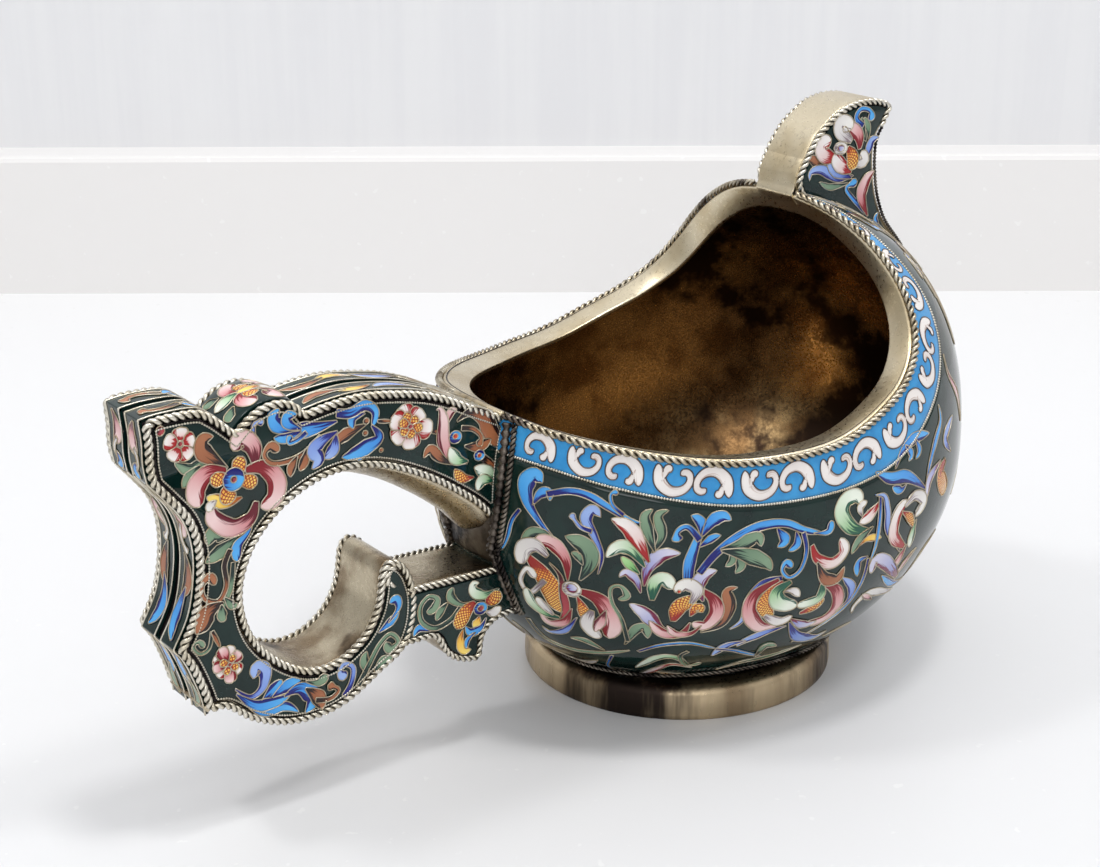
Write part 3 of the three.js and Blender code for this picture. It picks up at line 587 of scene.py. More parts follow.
rope = {
    "rim": {"radius": 0.85, "lay": 1.74, "sides": 7, "steps": 9},
    "handle": {"radius": 0.9, "lay": 1.6, "sides": 7, "steps": 9},
    "bracket": {"radius": 0.8, "lay": 1.5, "sides": 7, "steps": 9},
    "prow": {"radius": 0.8, "lay": 1.6, "sides": 7, "steps": 9},
    "joint": {"radius": 0.75, "lay": 1.25, "sides": 6, "steps": 9},
    "foot": {"radius": 0.55, "lay": 1.2, "sides": 5, "steps": 7},
}
strand = {"radius": 0.54, "offset": 0.47}


# Two strands laid round a path, with the shares of tarnish between them
def ropeMesh(path, across, kind):
    radius, lay, sides = kind["radius"], kind["lay"], kind["sides"]
    length = runLength(path)[-1]
    places = np.linspace(0, length, max(4, round(length / lay * kind["steps"]) + 1))
    line, across = followed(path, across, places)
    across, beside = squaredOff(line, across)
    points, faces = [], []
    for number in range(2):
        turn = math.pi * (places / lay + number)
        away = np.cos(turn)[:, None] * across + np.sin(turn)[:, None] * beside
        strandPoints, strandFaces = tubeAlong(line + radius * strand["offset"] * away, away,
                                              radius * strand["radius"], sides, number * len(line) * sides)
        points.append(strandPoints)
        faces += strandFaces
    facing = np.cos(np.arange(sides) * 2 * math.pi / sides)
    return np.vstack(points), faces, np.tile(np.clip(0.42 - 0.85 * facing, 0, 1), 2 * len(line))


# A wire drawn into a row of beads
def beadMesh(path, across, radius, pitch, sides=5):
    length = runLength(path)[-1]
    places = np.linspace(0, length, max(2, round(length / pitch)) * 4 + 1)
    line, across = followed(path, across, places)
    swell = 0.8 + 0.25 * np.sin(np.arange(len(line)) * math.pi / 2)
    points, faces = tubeAlong(line, across, radius * swell, sides)
    return points, faces, np.repeat(np.clip(1.7 * (0.95 - swell), 0, 1), sides)


def wirePiece(name, parts):
    points, faces, soot = zip(*parts)
    starts = np.cumsum([0] + [len(some) for some in points]).tolist()
    moved = [[corner + start for corner in face] for start, some in zip(starts, faces) for face in some]
    return meshPiece(name, np.vstack(points), moved, {"soot": np.concatenate(soot)})


def wirePair(name, parts, material, node=None):
    dressedPair(wirePiece(name + "Right", parts), material, "twisted_wire", node)


# Finishes
def shade(colour):
    values = np.array(colour) / 255
    return tuple(np.where(values > 0.04045, ((values + 0.055) / 1.055) ** 2.4, values / 12.92)) + (1.0,)


def addNode(material, kind, values=None, **settings):
    node = material.node_tree.nodes.new("ShaderNode" + kind)
    for key, value in settings.items():
        setattr(node, key, value)
    for key, value in (values or {}).items():
        node.inputs[key].default_value = value
    return node


def joinNodes(material, *pairs):
    for source, target in pairs:
        material.node_tree.links.new(source, target)


def startMaterial(name):
    material = bpy.data.materials.new(name)
    material.use_nodes = True
    return material, material.node_tree.nodes["Principled BSDF"]


# A noise as a share, stretched between two of its values
def noiseShare(material, vector, scale, low, high, detail=3.0, rough=0.55):
    noise = addNode(material, "TexNoise", {"Scale": scale, "Detail": detail, "Roughness": rough})
    ramp = addNode(material, "MapRange", {"From Min": low, "From Max": high}, interpolation_type="SMOOTHSTEP")
    joinNodes(material, (vector, noise.inputs["Vector"]), (noise.outputs["Fac"], ramp.inputs["Value"]))
    return ramp.outputs["Result"]


def mixed(material, factor, first, second):
    mix = addNode(material, "Mix", data_type="RGBA")
    for socket, value in ((mix.inputs[0], factor), (mix.inputs[6], first), (mix.inputs[7], second)):
        if isinstance(value, bpy.types.NodeSocket):
            joinNodes(material, (value, socket))
        else:
            socket.default_value = value
    return mix.outputs[2]


def objectPlace(material):
    return addNode(material, "TexCoord").outputs["Object"]


# Old metal: patches of tarnish, a fine grain in the polish and small dents
def oldMetal(name, bright, worn, dark, patch, darkShare, polish, dents=0.12, soot=False, grain=(1, 1, 1)):
    material, shader = startMaterial(name)
    stretched = addNode(material, "Mapping", {"Scale": grain})
    joinNodes(material, (objectPlace(material), stretched.inputs["Vector"]))
    place = stretched.outputs["Vector"]
    wornShare = noiseShare(material, place, 1 / patch, 0.4, 0.64, 3.0)
    darkNoise = noiseShare(material, place, 0.45 / patch, 1 - darkShare, 1.12 - darkShare, 6.0, 0.65)
    colour = mixed(material, darkNoise, mixed(material, wornShare, shade(bright), shade(worn)), shade(dark))
    if soot:
        between = addNode(material, "Attribute", attribute_name="soot")
        colour = mixed(material, between.outputs["Fac"], colour, shade((16, 14, 13)))
    fine = noiseShare(material, place, 1400, 0.2, 0.8, 2.0)
    rough = addNode(material, "MapRange", {"To Min": polish[0], "To Max": polish[1]})
    blend = addNode(material, "Math", {1: 0.5}, operation="MULTIPLY_ADD")
    joinNodes(material, (darkNoise, blend.inputs[0]), (fine, blend.inputs[2]),
              (blend.outputs[0], rough.inputs["Value"]))
    bump = addNode(material, "Bump", {"Strength": dents, "Distance": 0.0004})
    joinNodes(material, (noiseShare(material, place, 420, 0.2, 0.8, 5.0), bump.inputs["Height"]),
              (colour, shader.inputs["Base Color"]), (rough.outputs["Result"], shader.inputs["Roughness"]),
              (bump.outputs["Normal"], shader.inputs["Normal"]))
    shader.inputs["Metallic"].default_value = 1.0
    return material


silverGilt = oldMetal(
    "silverGilt", (200, 186, 158), (180, 160, 126), (100, 90, 80), 0.016, 0.4, (0.26, 0.5), 0.08)
lipSilver = oldMetal(
    "lipSilver", (214, 202, 176), (196, 180, 148), (104, 94, 86), 0.016, 0.4, (0.24, 0.42), 0.08)
footSilver = oldMetal(
    "footSilver", (196, 176, 144), (140, 120, 94), (48, 40, 36), 0.017, 0.5, (0.24, 0.5), 0.08, grain=(1, 1, 0.12))
hookSilver = oldMetal(
    "hookSilver", (192, 180, 156), (136, 118, 94), (56, 48, 42), 0.013, 0.46, (0.2, 0.42), 0.08)
# The gilt inside the bowl: real tarnish in patches, on a base darkened as painted shade of the bowl's hollow
shadedGiltInside = oldMetal(
    "shadedGiltInside", (172, 142, 100), (118, 89, 58), (50, 37, 29), 0.014, 0.54, (0.2, 0.34), 0.0)
twistSilver = oldMetal(
    "twistSilver", (226, 220, 206), (205, 196, 176), (120, 112, 100), 0.006, 0.3, (0.24, 0.42), 0.05, soot=True)
# A darker copy of twistSilver for the rim's rope: painted shade
rimSilverShaded = oldMetal(
    "rimSilverShaded", (206, 197, 178), (170, 157, 134), (88, 79, 72), 0.006, 0.46, (0.24, 0.42), 0.05, soot=True)
oldRope = oldMetal(
    "oldRope", (132, 124, 114), (84, 77, 70), (42, 38, 38), 0.004, 0.5, (0.28, 0.5), 0.05, soot=True)
cellWire = oldMetal(
    "cellWire", (206, 196, 176), (180, 164, 136), (110, 100, 88), 0.004, 0.3, (0.28, 0.45), 0.0)
scrollWire = oldMetal(
    "scrollWire", (120, 106, 98), (96, 84, 78), (70, 60, 56), 0.004, 0.3, (0.35, 0.5), 0.0)
solder = oldMetal(
    "solder", (108, 100, 92), (74, 67, 62), (38, 34, 34), 0.004, 0.5, (0.32, 0.5), 0.3)
darkSeam = oldMetal(
    "darkSeam", (60, 54, 54), (34, 30, 32), (20, 18, 20), 0.004, 0.4, (0.35, 0.6))


# Fired enamel: two close tones, a wavy gloss and a few pits
def firedEnamel(name, tone, other, size, gloss):
    material, shader = startMaterial(name)
    place = objectPlace(material)
    bump = addNode(material, "Bump", {"Strength": 0.05, "Distance": 0.0006})
    joinNodes(material, (noiseShare(material, place, 150, 0.2, 0.8, 2.0), bump.inputs["Height"]),
              (mixed(material, noiseShare(material, place, 1 / size, 0.35, 0.65, 5.0), shade(tone), shade(other)),
               shader.inputs["Base Color"]),
              (bump.outputs["Normal"], shader.inputs["Normal"]))
    shader.inputs["Roughness"].default_value = gloss
    shader.inputs["Specular IOR Level"].default_value = 0.36
    return material


fieldGreen = firedEnamel("fieldGreen", (15, 40, 36), (10, 31, 29), 0.006, gloss=0.07)
skyBlue = firedEnamel("skyBlue", (58, 148, 206), (48, 134, 194), 0.004, gloss=0.1)


# Crossed brush lines, where a leaf asks for them
def crossedLines(material, place):
    lines = []
    for turn in (40, -35):
        turned = addNode(material, "Mapping", {"Rotation": (0, 0, math.radians(turn))})
        wave = addNode(material, "TexWave", {"Scale": 0.52, "Distortion": 1.2, "Detail": 0.0}, wave_type="BANDS")
        thin = addNode(material, "MapRange", {"From Min": 0.62, "From Max": 0.9})
        joinNodes(material, (place, turned.inputs["Vector"]), (turned.outputs["Vector"], wave.inputs["Vector"]),
                  (wave.outputs["Fac"], thin.inputs["Value"]))
        lines.append(thin.outputs["Result"])
    either = addNode(material, "Math", operation="MAXIMUM")
    asked = addNode(material, "Math", operation="MULTIPLY")
    net = addNode(material, "Attribute", attribute_name="net")
    joinNodes(material, (lines[0], either.inputs[0]), (lines[1], either.inputs[1]),
              (either.outputs[0], asked.inputs[0]), (net.outputs["Fac"], asked.inputs[1]))
    return asked.outputs[0]


# Enamel painted with a brush inside the wires. The ink ends in streaks along each leaf.
def brushEnamel(name):
    material, shader = startMaterial(name)
    brush = addNode(material, "UVMap", uv_map="brush")
    stretchUv = addNode(material, "Mapping", {"Scale": (0.16, 2.6, 1.0)})
    noise = addNode(material, "TexNoise", {"Scale": 1.0, "Detail": 2.0, "Roughness": 0.5})
    wash = addNode(material, "Attribute", attribute_name="wash")
    lessNoise = addNode(material, "Math", {1: 0.5}, operation="SUBTRACT")
    streak = addNode(material, "Math", {1: 1.5}, operation="MULTIPLY_ADD")
    edge = addNode(material, "MapRange", {"From Min": 0.34, "From Max": 0.66}, interpolation_type="SMOOTHSTEP")
    joinNodes(material, (brush.outputs["UV"], stretchUv.inputs["Vector"]),
              (stretchUv.outputs["Vector"], noise.inputs["Vector"]), (noise.outputs["Fac"], lessNoise.inputs[0]),
              (lessNoise.outputs[0], streak.inputs[0]), (wash.outputs["Fac"], streak.inputs[2]),
              (streak.outputs[0], edge.inputs["Value"]))
    paint = addNode(material, "Attribute", attribute_name="paint")
    ink = addNode(material, "Attribute", attribute_name="ink")
    most = addNode(material, "Math", operation="MAXIMUM")
    joinNodes(material, (edge.outputs["Result"], most.inputs[0]),
              (crossedLines(material, brush.outputs["UV"]), most.inputs[1]),
              (mixed(material, most.outputs[0], paint.outputs["Color"], ink.outputs["Color"]),
               shader.inputs["Base Color"]))
    shader.inputs["Roughness"].default_value = 0.12
    shader.inputs["Specular IOR Level"].default_value = 0.4
    return material


paintedEnamel = brushEnamel("paintedEnamel")
print("materials made")

# The bowl's shell, lip and foot
lip = {
    "width": 6.2, "thickness": 1.2, "proud": 0.35, "gap": 0.85, "stations": 150,
    "grooveInset": 0.75, "grooveRise": 0.31, "grooveRadius": 0.2, "grooveShare": 0.8,
}
foot = {
    "radius": 36, "setBack": 6, "wallHeight": 6.6, "shoulderHeight": 7.8, "shoulderRadius": 34.2, "seatRadius": 30.5,
    "wall": 1.6, "steps": 144,
}
up = np.array([0, 0, 1.0])
grid = {"around": 241, "shellDown": 70, "fieldDown": 60, "borderAround": 520, "borderDown": 14, "wires": 400}
# How far each part stays under the rim, and how far the enamels run over the border's lower edge
underRim = {"shell": 0.9, "border": 0.8, "rope": 0.3}
overBorder = {"field": 0.2, "border": 0.25}


def bowlRows(azimuths, top, bottom, count, inset=0):
    shares = np.linspace(0, 1, count)[:, None]
    return onOvoid(azimuths[None], top[None] * (1 - shares) + bottom[None] * shares, inset)


def makeShell():
    inset = bowl["insideInset"]
    azimuths = azimuthsAlong(rimLine, grid["around"], inset)
    top = polarAlong(shifted(rimLine, -underRim["shell"]), azimuths, inset)
    depth = (bowl["equator"] - bowl["floor"]) / (bowl["keelDrop"] - inset)
    floorPolar = math.pi - math.asin(math.sqrt(1 - depth ** 2))
    rows = bowlRows(azimuths, top, np.full(len(azimuths), floorPolar), grid["shellDown"], inset)
    centre = np.array([0, 0, bowl["floor"]])
    disc = [centre + (rows[-1] - centre) * share for share in (0.94, 0.7, 0.4, 0.15, 0)]
    piece = wrappedSheet("bowlShell", np.concatenate([rows, np.array(disc)]), up, bowl["wall"], closed=True)
    dressed(piece, shadedGiltInside, "gilt_bowl", ["bowl_shell"])


# From the rim's sheet, rolled out flat, back into space
def onCut(along, across, rise):
    length = runLength(rimLine)
    x, z = (columnsAt(along, length, rimLine) + rise * columnsAt(along, length, leftNormals(rimLine))).T
    return np.stack([x, across, z], axis=-1)


def flatRim():
    along, points = stationsOn(rimLine, lip["stations"])
    half = np.stack([along, points[:, 1]], axis=1)
    return np.vstack([half, half[:0:-1] * (1, -1)])


def makeLip():
    flat = flatRim()
    inward = inwardNormals(flat)
    width, low = lip["width"], lip["proud"] - lip["thickness"]
    section = [(0, low + 0.2), (0, -0.05), (0.22, 0.27), (0.6, 0.36), (width * 0.5, 0.02), (width - 0.4, -0.5),
               (width - 0.1, -0.62), (width, -0.85), (width, low - 0.7), (width - 0.3, low - 0.9), (0.25, low)]
    rings = np.stack([onCut(*(flat + inward * (lip["gap"] + inset)).T, rise) for inset, rise in section], axis=1)
    faces = ringFaces(len(flat), len(section), closed=True)
    piece = edited(meshPiece("rimLip", rings.reshape(-1, 3), faces), faceOut)
    dressed(piece, lipSilver, "silver_gilt", ["rim_lip"])


# A dark tube along the lip, which runs out towards the prow: painted shade of a groove scored in the lip, whose hollow
# is not cut
def makeLipGrooveShade():
    flat = flatRim()
    flat = flat[flat[:, 0] < flat[:, 0].max() * lip["grooveShare"]]
    order = np.argsort(flat[:, 0] * np.where(flat[:, 1] < 0, -1, 1))
    flat = evenly(flat[order], step=0.5)
    inward = leftNormals(flat)
    inward *= np.sign((inward * (flat.mean(0) - flat)).sum(1))[:, None]
    line = onCut(*(flat + inward * (lip["gap"] + lip["grooveInset"])).T, lip["grooveRise"])
    tube = plainTube(line, up, lip["grooveRadius"] * np.hanning(len(line)) ** 0.25, 5)
    dressed(wirePiece("lipGrooveShade", [tube]), darkSeam, "silver_gilt")


def undersideAt(x, y):
    share = np.minimum(np.hypot(x / bowl["halfLength"], y / bowl["halfWidth"]), 1)
    return bowl["equator"] - bowl["keelDrop"] * np.sqrt(1 - share ** 2)


# The foot's ring is turned round its axis, and ends under the bowl
def makeFoot():
    outer, wall, high = foot["radius"], foot["wall"], foot["wallHeight"]
    inner, shoulder, seat = outer - wall, foot["shoulderHeight"], foot["seatRadius"]
    profile = [(inner + 0.3, 0), (outer - 0.3, 0), (outer, 0.25), (outer + 0.12, 1.2), (outer, 3.2),
               (outer - 0.05, high - 0.9), (outer - 0.35, high - 0.1), (outer - 1.0, high + 0.6),
               (foot["shoulderRadius"], shoulder - 0.12), (seat, shoulder), (seat, shoulder - wall),
               (inner, high - wall), (inner, 0.3)]
    count = len(profile)
    points = toFrame([(radius - foot["setBack"], 0, height) for radius, height in profile])
    mesh = bpy.data.meshes.new("footRing")
    mesh.from_pydata(points.tolist(), [(i, (i + 1) % count) for i in range(count)], [])
    centre = toFrame((-foot["setBack"], 0, 0))
    piece = edited(
        addPiece("footRing", mesh),
        lambda: bpy.ops.mesh.spin(steps=foot["steps"], angle=2 * math.pi, center=centre, axis=(0, 0, 1)),
        mergeDoubles, faceOut)
    for vertex in mesh.vertices:
        x, y, z = vertex.co * 1000
        vertex.co.z = min(z, undersideAt(x - bowlShift[0], y) + 0.4) / 1000
    mesh.shade_smooth()
    dressed(piece, footSilver, "silver_gilt", ["foot_ring"])


# Where the bowl's underside comes within a radius of the foot's axis, as polar angles
def polarInside(azimuths, radius):
    polars = np.linspace(math.pi / 2, math.pi, 400)
    ring = onOvoid(azimuths[None], polars[:, None])
    fromAxis = np.hypot(ring[..., 0] + foot["setBack"], ring[..., 1])
    return polars[(fromAxis < radius).argmax(0)]


def makeFieldEnamel():
    azimuths = azimuthsAlong(borderLine, grid["around"])
    top = polarAlong(shifted(borderLine, -overBorder["field"]), azimuths)
    rows = bowlRows(azimuths, top, polarInside(azimuths, foot["seatRadius"]), grid["fieldDown"])
    outward = rows[len(rows) // 2, len(azimuths) // 2] - (0, 0, bowl["equator"])
    piece = wrappedSheet("fieldEnamel", rows, outward, bowl["enamel"], closed=True)
    dressed(piece, fieldGreen, "field_enamel", ["bowl_enamel"])


# The border stops where the prow stands over it
prowCover = {"half": 5.6, "turn": -1.5}


def makeBorderEnamel():
    azimuths = azimuthsAlong(borderLine, grid["borderAround"])
    azimuths = azimuths[azimuths < 0]
    top = polarAlong(shifted(rimLine, -underRim["border"]), azimuths)
    shown = (abs(onOvoid(azimuths, top)[:, 1]) >= prowCover["half"]) | (azimuths <= prowCover["turn"])
    azimuths, top = azimuths[shown], top[shown]
    low = polarAlong(shifted(borderLine, overBorder["border"]), azimuths)
    rows = bowlRows(azimuths, top, low, grid["borderDown"])
    piece = wrappedSheet("borderEnamelRight", rows, (0, -1, 0), bowl["enamel"])
    dressedPair(piece, skyBlue, "border_enamel", "border_enamel")


borderWire = {"radius": 0.36, "pitch": 0.62, "from": 8.0}


def makeBorderWire():
    edge = rightSide(borderLine, grid["wires"])
    edge = evenly(edge[edge[:, 1] < -borderWire["from"]], step=0.5)
    wire = beadMesh(edge, BowlGround().normal(edge), borderWire["radius"], borderWire["pitch"])
    wirePair("borderWire", [wire], twistSilver, "border_wire")


# The rim's rope stops at the prow, and turns into a plain band inside the handle
def makeRimRope():
    ground = BowlGround()
    half = rightSide(shifted(rimLine, -underRim["rope"]), grid["wires"])
    beside = abs(half[:, 1]) > np.where(half[:, 0] < 0, handle["half"], prow["half"] - 0.1)
    line = evenly(half[beside], step=0.6)
    piece = wirePiece("rimRopeRight", [ropeMesh(line, ground.normal(line), rope["rim"])])
    dressedPair(piece, rimSilverShaded, "twisted_wire", "rim_rope", sides=("", ""))
    end = half[~beside & (half[:, 0] < 0)]
    end = evenly(np.vstack([end[::-1], end[1:] * (1, -1, 1)]), step=0.4)
    band = plainTube(end, ground.normal(end), rope["rim"]["radius"] - 0.05, 16)
    dressed(wirePiece("rimEndBand", [band]), silverGilt, "silver_gilt", ["rim_rope"])


# The foot's rope, moved out until it fits between the foot and the bowl
footRope = {"start": 32.6, "step": 0.09, "rounds": 60, "room": 0.3, "drop": 0.62, "stations": 361}


def makeFootRope():
    turns = np.linspace(0, 2 * math.pi, footRope["stations"])
    standOff = rope["foot"]["radius"] + footRope["room"]
    most = foot["radius"] + standOff

    def under(radius):
        return undersideAt(radius * np.cos(turns) - foot["setBack"], radius * np.sin(turns))

    radius = np.full(len(turns), footRope["start"])
    for _ in range(footRope["rounds"]):
        slope = np.clip((radius - foot["shoulderRadius"]) / (foot["radius"] - foot["shoulderRadius"]), 0, 1)
        footTop = foot["shoulderHeight"] + (foot["wallHeight"] - foot["shoulderHeight"]) * slope
        low = (radius < most) & (under(radius) < footTop + 2.0 * standOff)
        radius = np.minimum(radius + footRope["step"] * low, most)
    path = np.stack([radius * np.cos(turns) - foot["setBack"], radius * np.sin(turns),
                     under(radius) - footRope["drop"]], axis=1)
    dressed(wirePiece("footRope", [ropeMesh(path, up, rope["foot"])]), oldRope, "twisted_wire", ["foot_rope"])


makeShell()
makeLip()
makeLipGrooveShade()
makeFoot()
makeFieldEnamel()
makeBorderEnamel()
makeBorderWire()
makeRimRope()
makeFootRope()
print("bowl made")


# The handle, the bracket and the prow
def outsideBowl(line, y, depth=1.0):
    return line[line[:, 0] < depth - endReach(y, line[:, 1])]


# An outline that starts and ends inside the bowl, closed along the bowl's surface
def cutAtBowl(outline, y, depth=1.0):
    kept = outsideBowl(outline, y, depth)
    heights = np.linspace(kept[-1, 1], kept[0, 1], 42)[1:-1]
    return np.vstack([kept, np.stack([depth - endReach(y, heights), heights], axis=1)])


# Rows across a band along a side-view line. It may bulge by a rise at its middle.
def bandRows(line, half, rise=0.0, count=7):
    across = np.linspace(-1, 1, count)
    bulge = (1 - across ** 2)[:, None] * np.broadcast_to(rise, len(line))
    flat = line + bulge[..., None] * leftNormals(line)
    return np.stack([flat[..., 0], np.broadcast_to((half * across)[:, None], bulge.shape), flat[..., 1]], axis=-1)


def outwardAt(outline, line):
    middle = line[len(line) // 2]
    nearest = np.linalg.norm(outline - middle, axis=1).argmin()
    inward = inwardNormals(outline)[nearest]
    return np.array([-inward[0], 0, -inward[1]])


# A band that lies in an outline, up to where it meets the bowl
def makeBand(name, outline, span, inset, half, thickness, bevel=0.0, centre=0.0):
    line = stretch(outline, span, inset, 2)
    if outline is not prowOutline:
        line = outsideBowl(line, half)
    rows = bandRows(line, half)
    rows[..., 1] += centre
    return wrappedSheet(name, rows, outwardAt(outline, line), thickness, bevel)


panelThickness = 0.7


# The two sides of a box: dark plates with enamel panels over them
def makeSides(name, outline, box, half, isCut=True):
    plate = box["plate"]
    for part, inset, outer, thickness, material, slot in (
            ("Plate", plate["inset"], half - plate["depth"], plate["thickness"], darkSeam, "silver_gilt"),
            ("Enamel", box["enamelInset"], half, panelThickness, fieldGreen, "field_enamel")):
        line, _ = insetLine(outline, inset)
        line = cutAtBowl(line, half) if isCut else line
        piece = outlinePlate(name + part + "Right", line, -outer, thickness)
        dressedPair(piece, material, slot, f"{name}_{part.lower()}")


outerStrips = {"top": "top", "bump": "bump", "ear": "ear", "earEnd": "ear_end", "back": "back",
               "lowerBack": "lower_back"}
laneNodes = {name: node + "_lane" for name, node in outerStrips.items() if name != "bump"}
lane = {"middle": -4.05, "half": 2.75, "inset": 0.15, "thickness": 0.8, "bevel": 0.15, "edges": (-6.85, -1.35)}
bump = {"half": 6.9, "rise": 0.45, "inset": 0.1, "thickness": 0.8, "bevel": 0.15}


def makeHandle():
    makeSides("handle", handleOutline, handle, handle["half"])
    half = handle["stripHalf"]
    for name, node in outerStrips.items():
        piece = makeBand(name + "Strip", handleOutline, handleSpans[name], inset=0.9, half=half + 0.4, thickness=1.0)
        dressed(piece, darkSeam, "silver_gilt", [node + "_strip"])
    loop = (handleSpans["volute"][0], handleSpans["loop"][1])
    for name, span, inset in (("bottom", handleSpans["bottom"], 0.5), ("loop", loop, 0.45)):
        piece = makeBand(name + "Strip", handleOutline, span, inset, half + 0.5, thickness=1.5, bevel=0.3)
        dressed(piece, hookSilver, "silver_gilt", [name + "_strip"])
    for name, node in laneNodes.items():
        piece = makeBand(name + "LaneRight", handleOutline, handleSpans[name], lane["inset"], lane["half"],
                         lane["thickness"], lane["bevel"], lane["middle"])
        dressedPair(piece, fieldGreen, "field_enamel", node)


def makeBump():
    line = stretch(handleOutline, handleSpans["bump"], bump["inset"], 2)
    outward = outwardAt(handleOutline, line)
    middle = len(line) // 2
    rows = bandRows(line, bump["half"], bump["rise"])
    if np.dot(rows[3, middle] - inSideView(line, 0)[middle], outward) < 0:
        rows = bandRows(line, bump["half"], -bump["rise"])
    piece = wrappedSheet("bumpEnamel", rows, outward, bump["thickness"], bump["bevel"])
    dressed(piece, fieldGreen, "field_enamel", ["bump_enamel"])


# The middle of the ropes on the handle's and the bracket's edges
ropeY = -8.3
# The rope's loose end, curled up inside the tip of the hook
hookCurl = [(-88.4, 46.4), (-89.5, 46.6), (-90.9, 45.9), (-91.4, 44.3), (-90.7, 42.9), (-89.5, 42.8)]
sideways = (0, 1, 0)


def makeHandleWires():
    whole = (handleSpans["top"][0], handleSpans["loop"][1] - 1)
    line = outsideBowl(stretch(handleOutline, whole, rope["handle"]["radius"], 3), handle["half"], 0.6)
    parts = [ropeMesh(inSideView(path, ropeY), sideways, rope["handle"])
             for path in (line, smoothLine(hookCurl, step=0.4))]
    wirePair("handleRope", parts, twistSilver, "handle_rope")
    edge, _ = insetLine(handleOutline, handle["enamelInset"] + 0.15)
    edge = cutAtBowl(edge, handle["half"], 0.0)
    edge = evenly(np.vstack([edge, edge[:1]]), step=0.5)
    parts = [beadMesh(inSideView(edge, -handle["half"] - 0.04), sideways, 0.24, 0.6)]
    for y in lane["edges"]:
        for name in laneNodes:
            line = outsideBowl(stretch(handleOutline, handleSpans[name], 0.12, 2), handle["stripHalf"])
            parts.append(plainTube(inSideView(line, y), sideways, 0.2, 5))
    wirePair("handleEdgeWires", parts, twistSilver)


# A dark twisted wire and a run of solder over the joint of a box with the bowl, through (y, z) places
joints = {
    "arm": ([(-12.3, 72.5), (-12.9, 67.4), (-13, 61), (-12.4, 54.2), (-10.9, 47), (-9.6, 43.6)], 1.15),
    "bracket": ([(-9.6, 43.0), (-10.2, 38.4), (-10.2, 32.6), (-9.4, 27.6)], 0.8),
}


def makeJoint(name):
    places, wide = joints[name]
    y, z = smoothLine(places, step=0.4).T
    for suffix, beside in (("Rope", 0), ("Solder", 0.75 + wide)):
        path = np.stack([-endReach(y + beside, z), y + beside, z], axis=1)
        across = BowlGround().normal(path)
        path = path + 0.3 * across
        if suffix == "Rope":
            wire, material = ropeMesh(path, across, rope["joint"]), oldRope
        else:
            wire, material = beadMesh(path, across, wide, 1.9, sides=12), solder
        wirePair(name + "Seam" + suffix, [wire], material, name + "_seam_rope")


# The arm's underside bellies out towards the bowl, as bulges at places along the ladle
armBelly = {"x": (-110, -104, -92, -80, -62), "bulge": (0.2, 1.9, 3.4, 4.2, 4.8), "half": 8.0}


def makeArmBelly():
    line = stretch(handleOutline, handleSpans["loop"], 0.15, 2)
    isArm = (line[:, 0] > armBelly["x"][0]) & (line[:, 1] > handle["bottom"] + 0.4 * handle["height"])
    line = outsideBowl(line[isArm], handle["half"])
    outward = outwardAt(handleOutline, line)
    bulge = np.interp(line[:, 0], armBelly["x"], armBelly["bulge"])
    bulge *= np.sign(leftNormals(line)[len(line) // 2] @ outward[::2])
    rows = bandRows(line, armBelly["half"], bulge, 25)
    dressed(wrappedSheet("armBelly", rows, outward, 0.6), hookSilver, "silver_gilt")


# The bare end of the bowl between the arm and the bracket, in the dark solder finish: tarnished bare silver, with
# painted shade of the gap between arm and bracket
bareEnd = {"half": 9.9, "low": 40.5, "high": 51.5, "proud": 0.12, "thickness": 0.4}


def makeShadedBareEnd():
    y, z = np.meshgrid(np.linspace(-bareEnd["half"], bareEnd["half"], 25),
                       np.linspace(bareEnd["low"], bareEnd["high"], 13))
    rows = np.stack([-endReach(y, z) - bareEnd["proud"], y, z], axis=-1)
    dressed(wrappedSheet("shadedBareEnd", rows, (-1, 0, 0), bareEnd["thickness"]), solder, "silver_gilt")


def makeBracket():
    makeSides("bracket", bracketOutline, bracket, handle["half"])
    edges = {"Top": bracketSpans["top"], "Under": (bracketSpans["under"][0], bracketSpans["pendantEnd"][1])}
    for name, span in edges.items():
        piece = makeBand(f"bracket{name}Strip", bracketOutline, span, 0.4, bracket["stripHalf"], thickness=1.0,
                         bevel=0.2)
        dressed(piece, hookSilver, "silver_gilt", [f"bracket_{name.lower()}_strip"])
    for name, span in edges.items():
        line = outsideBowl(stretch(bracketOutline, span, rope["bracket"]["radius"], 3), handle["half"], 0.6)
        line = line[line[:, 0] > bracket["hookX"] - 0.5] if name == "Top" else line
        parts = [ropeMesh(inSideView(line, ropeY), sideways, rope["bracket"])]
        wirePair(f"bracket{name}Rope", parts, twistSilver, f"bracket_{name.lower()}_rope")


def makeProw():
    makeSides("prow", prowOutline, prow, prow["half"], isCut=False)
    front = (prowSpans["beak"][0], prowSpans["front"][1])
    for name, span, inset, extra, material in (("Back", prowSpans["back"], 0.2, 0.7, lipSilver),
                                               ("Front", front, 0.4, 0.5, silverGilt)):
        piece = makeBand(f"prow{name}Strip", prowOutline, span, inset, prow["stripHalf"] + extra, thickness=1.2,
                         bevel=0.2)
        dressed(piece, material, "silver_gilt", [f"prow_{name.lower()}_strip"])
    y = 0.3 - prow["half"]
    edge = stretch(prowOutline, (prowSpans["back"][0], prowSpans["beak"][1]), rope["prow"]["radius"] + 0.1, 3)
    wirePair("prowRope", [ropeMesh(inSideView(edge, y), sideways, rope["prow"])], twistSilver, "prow_rope")
    edge = stretch(prowOutline, prowSpans["front"], 0.5, 2)
    wirePair("prowFrontWire", [beadMesh(inSideView(edge, y), sideways, 0.45, 0.8)], oldRope, "prow_rope")


# The lip runs on into the prow's back in one bend, placed from the end of the rim
prowBend = [(1.72, -3.15), (1.03, -2.4), (0.3, -1.55), (-0.15, -0.74), (0.1, 0.1), (0.5, 1.0), (0.72, 2.4), (1.05, 4.0),
            (2.25, 6.2), (3.45, 7.7)]


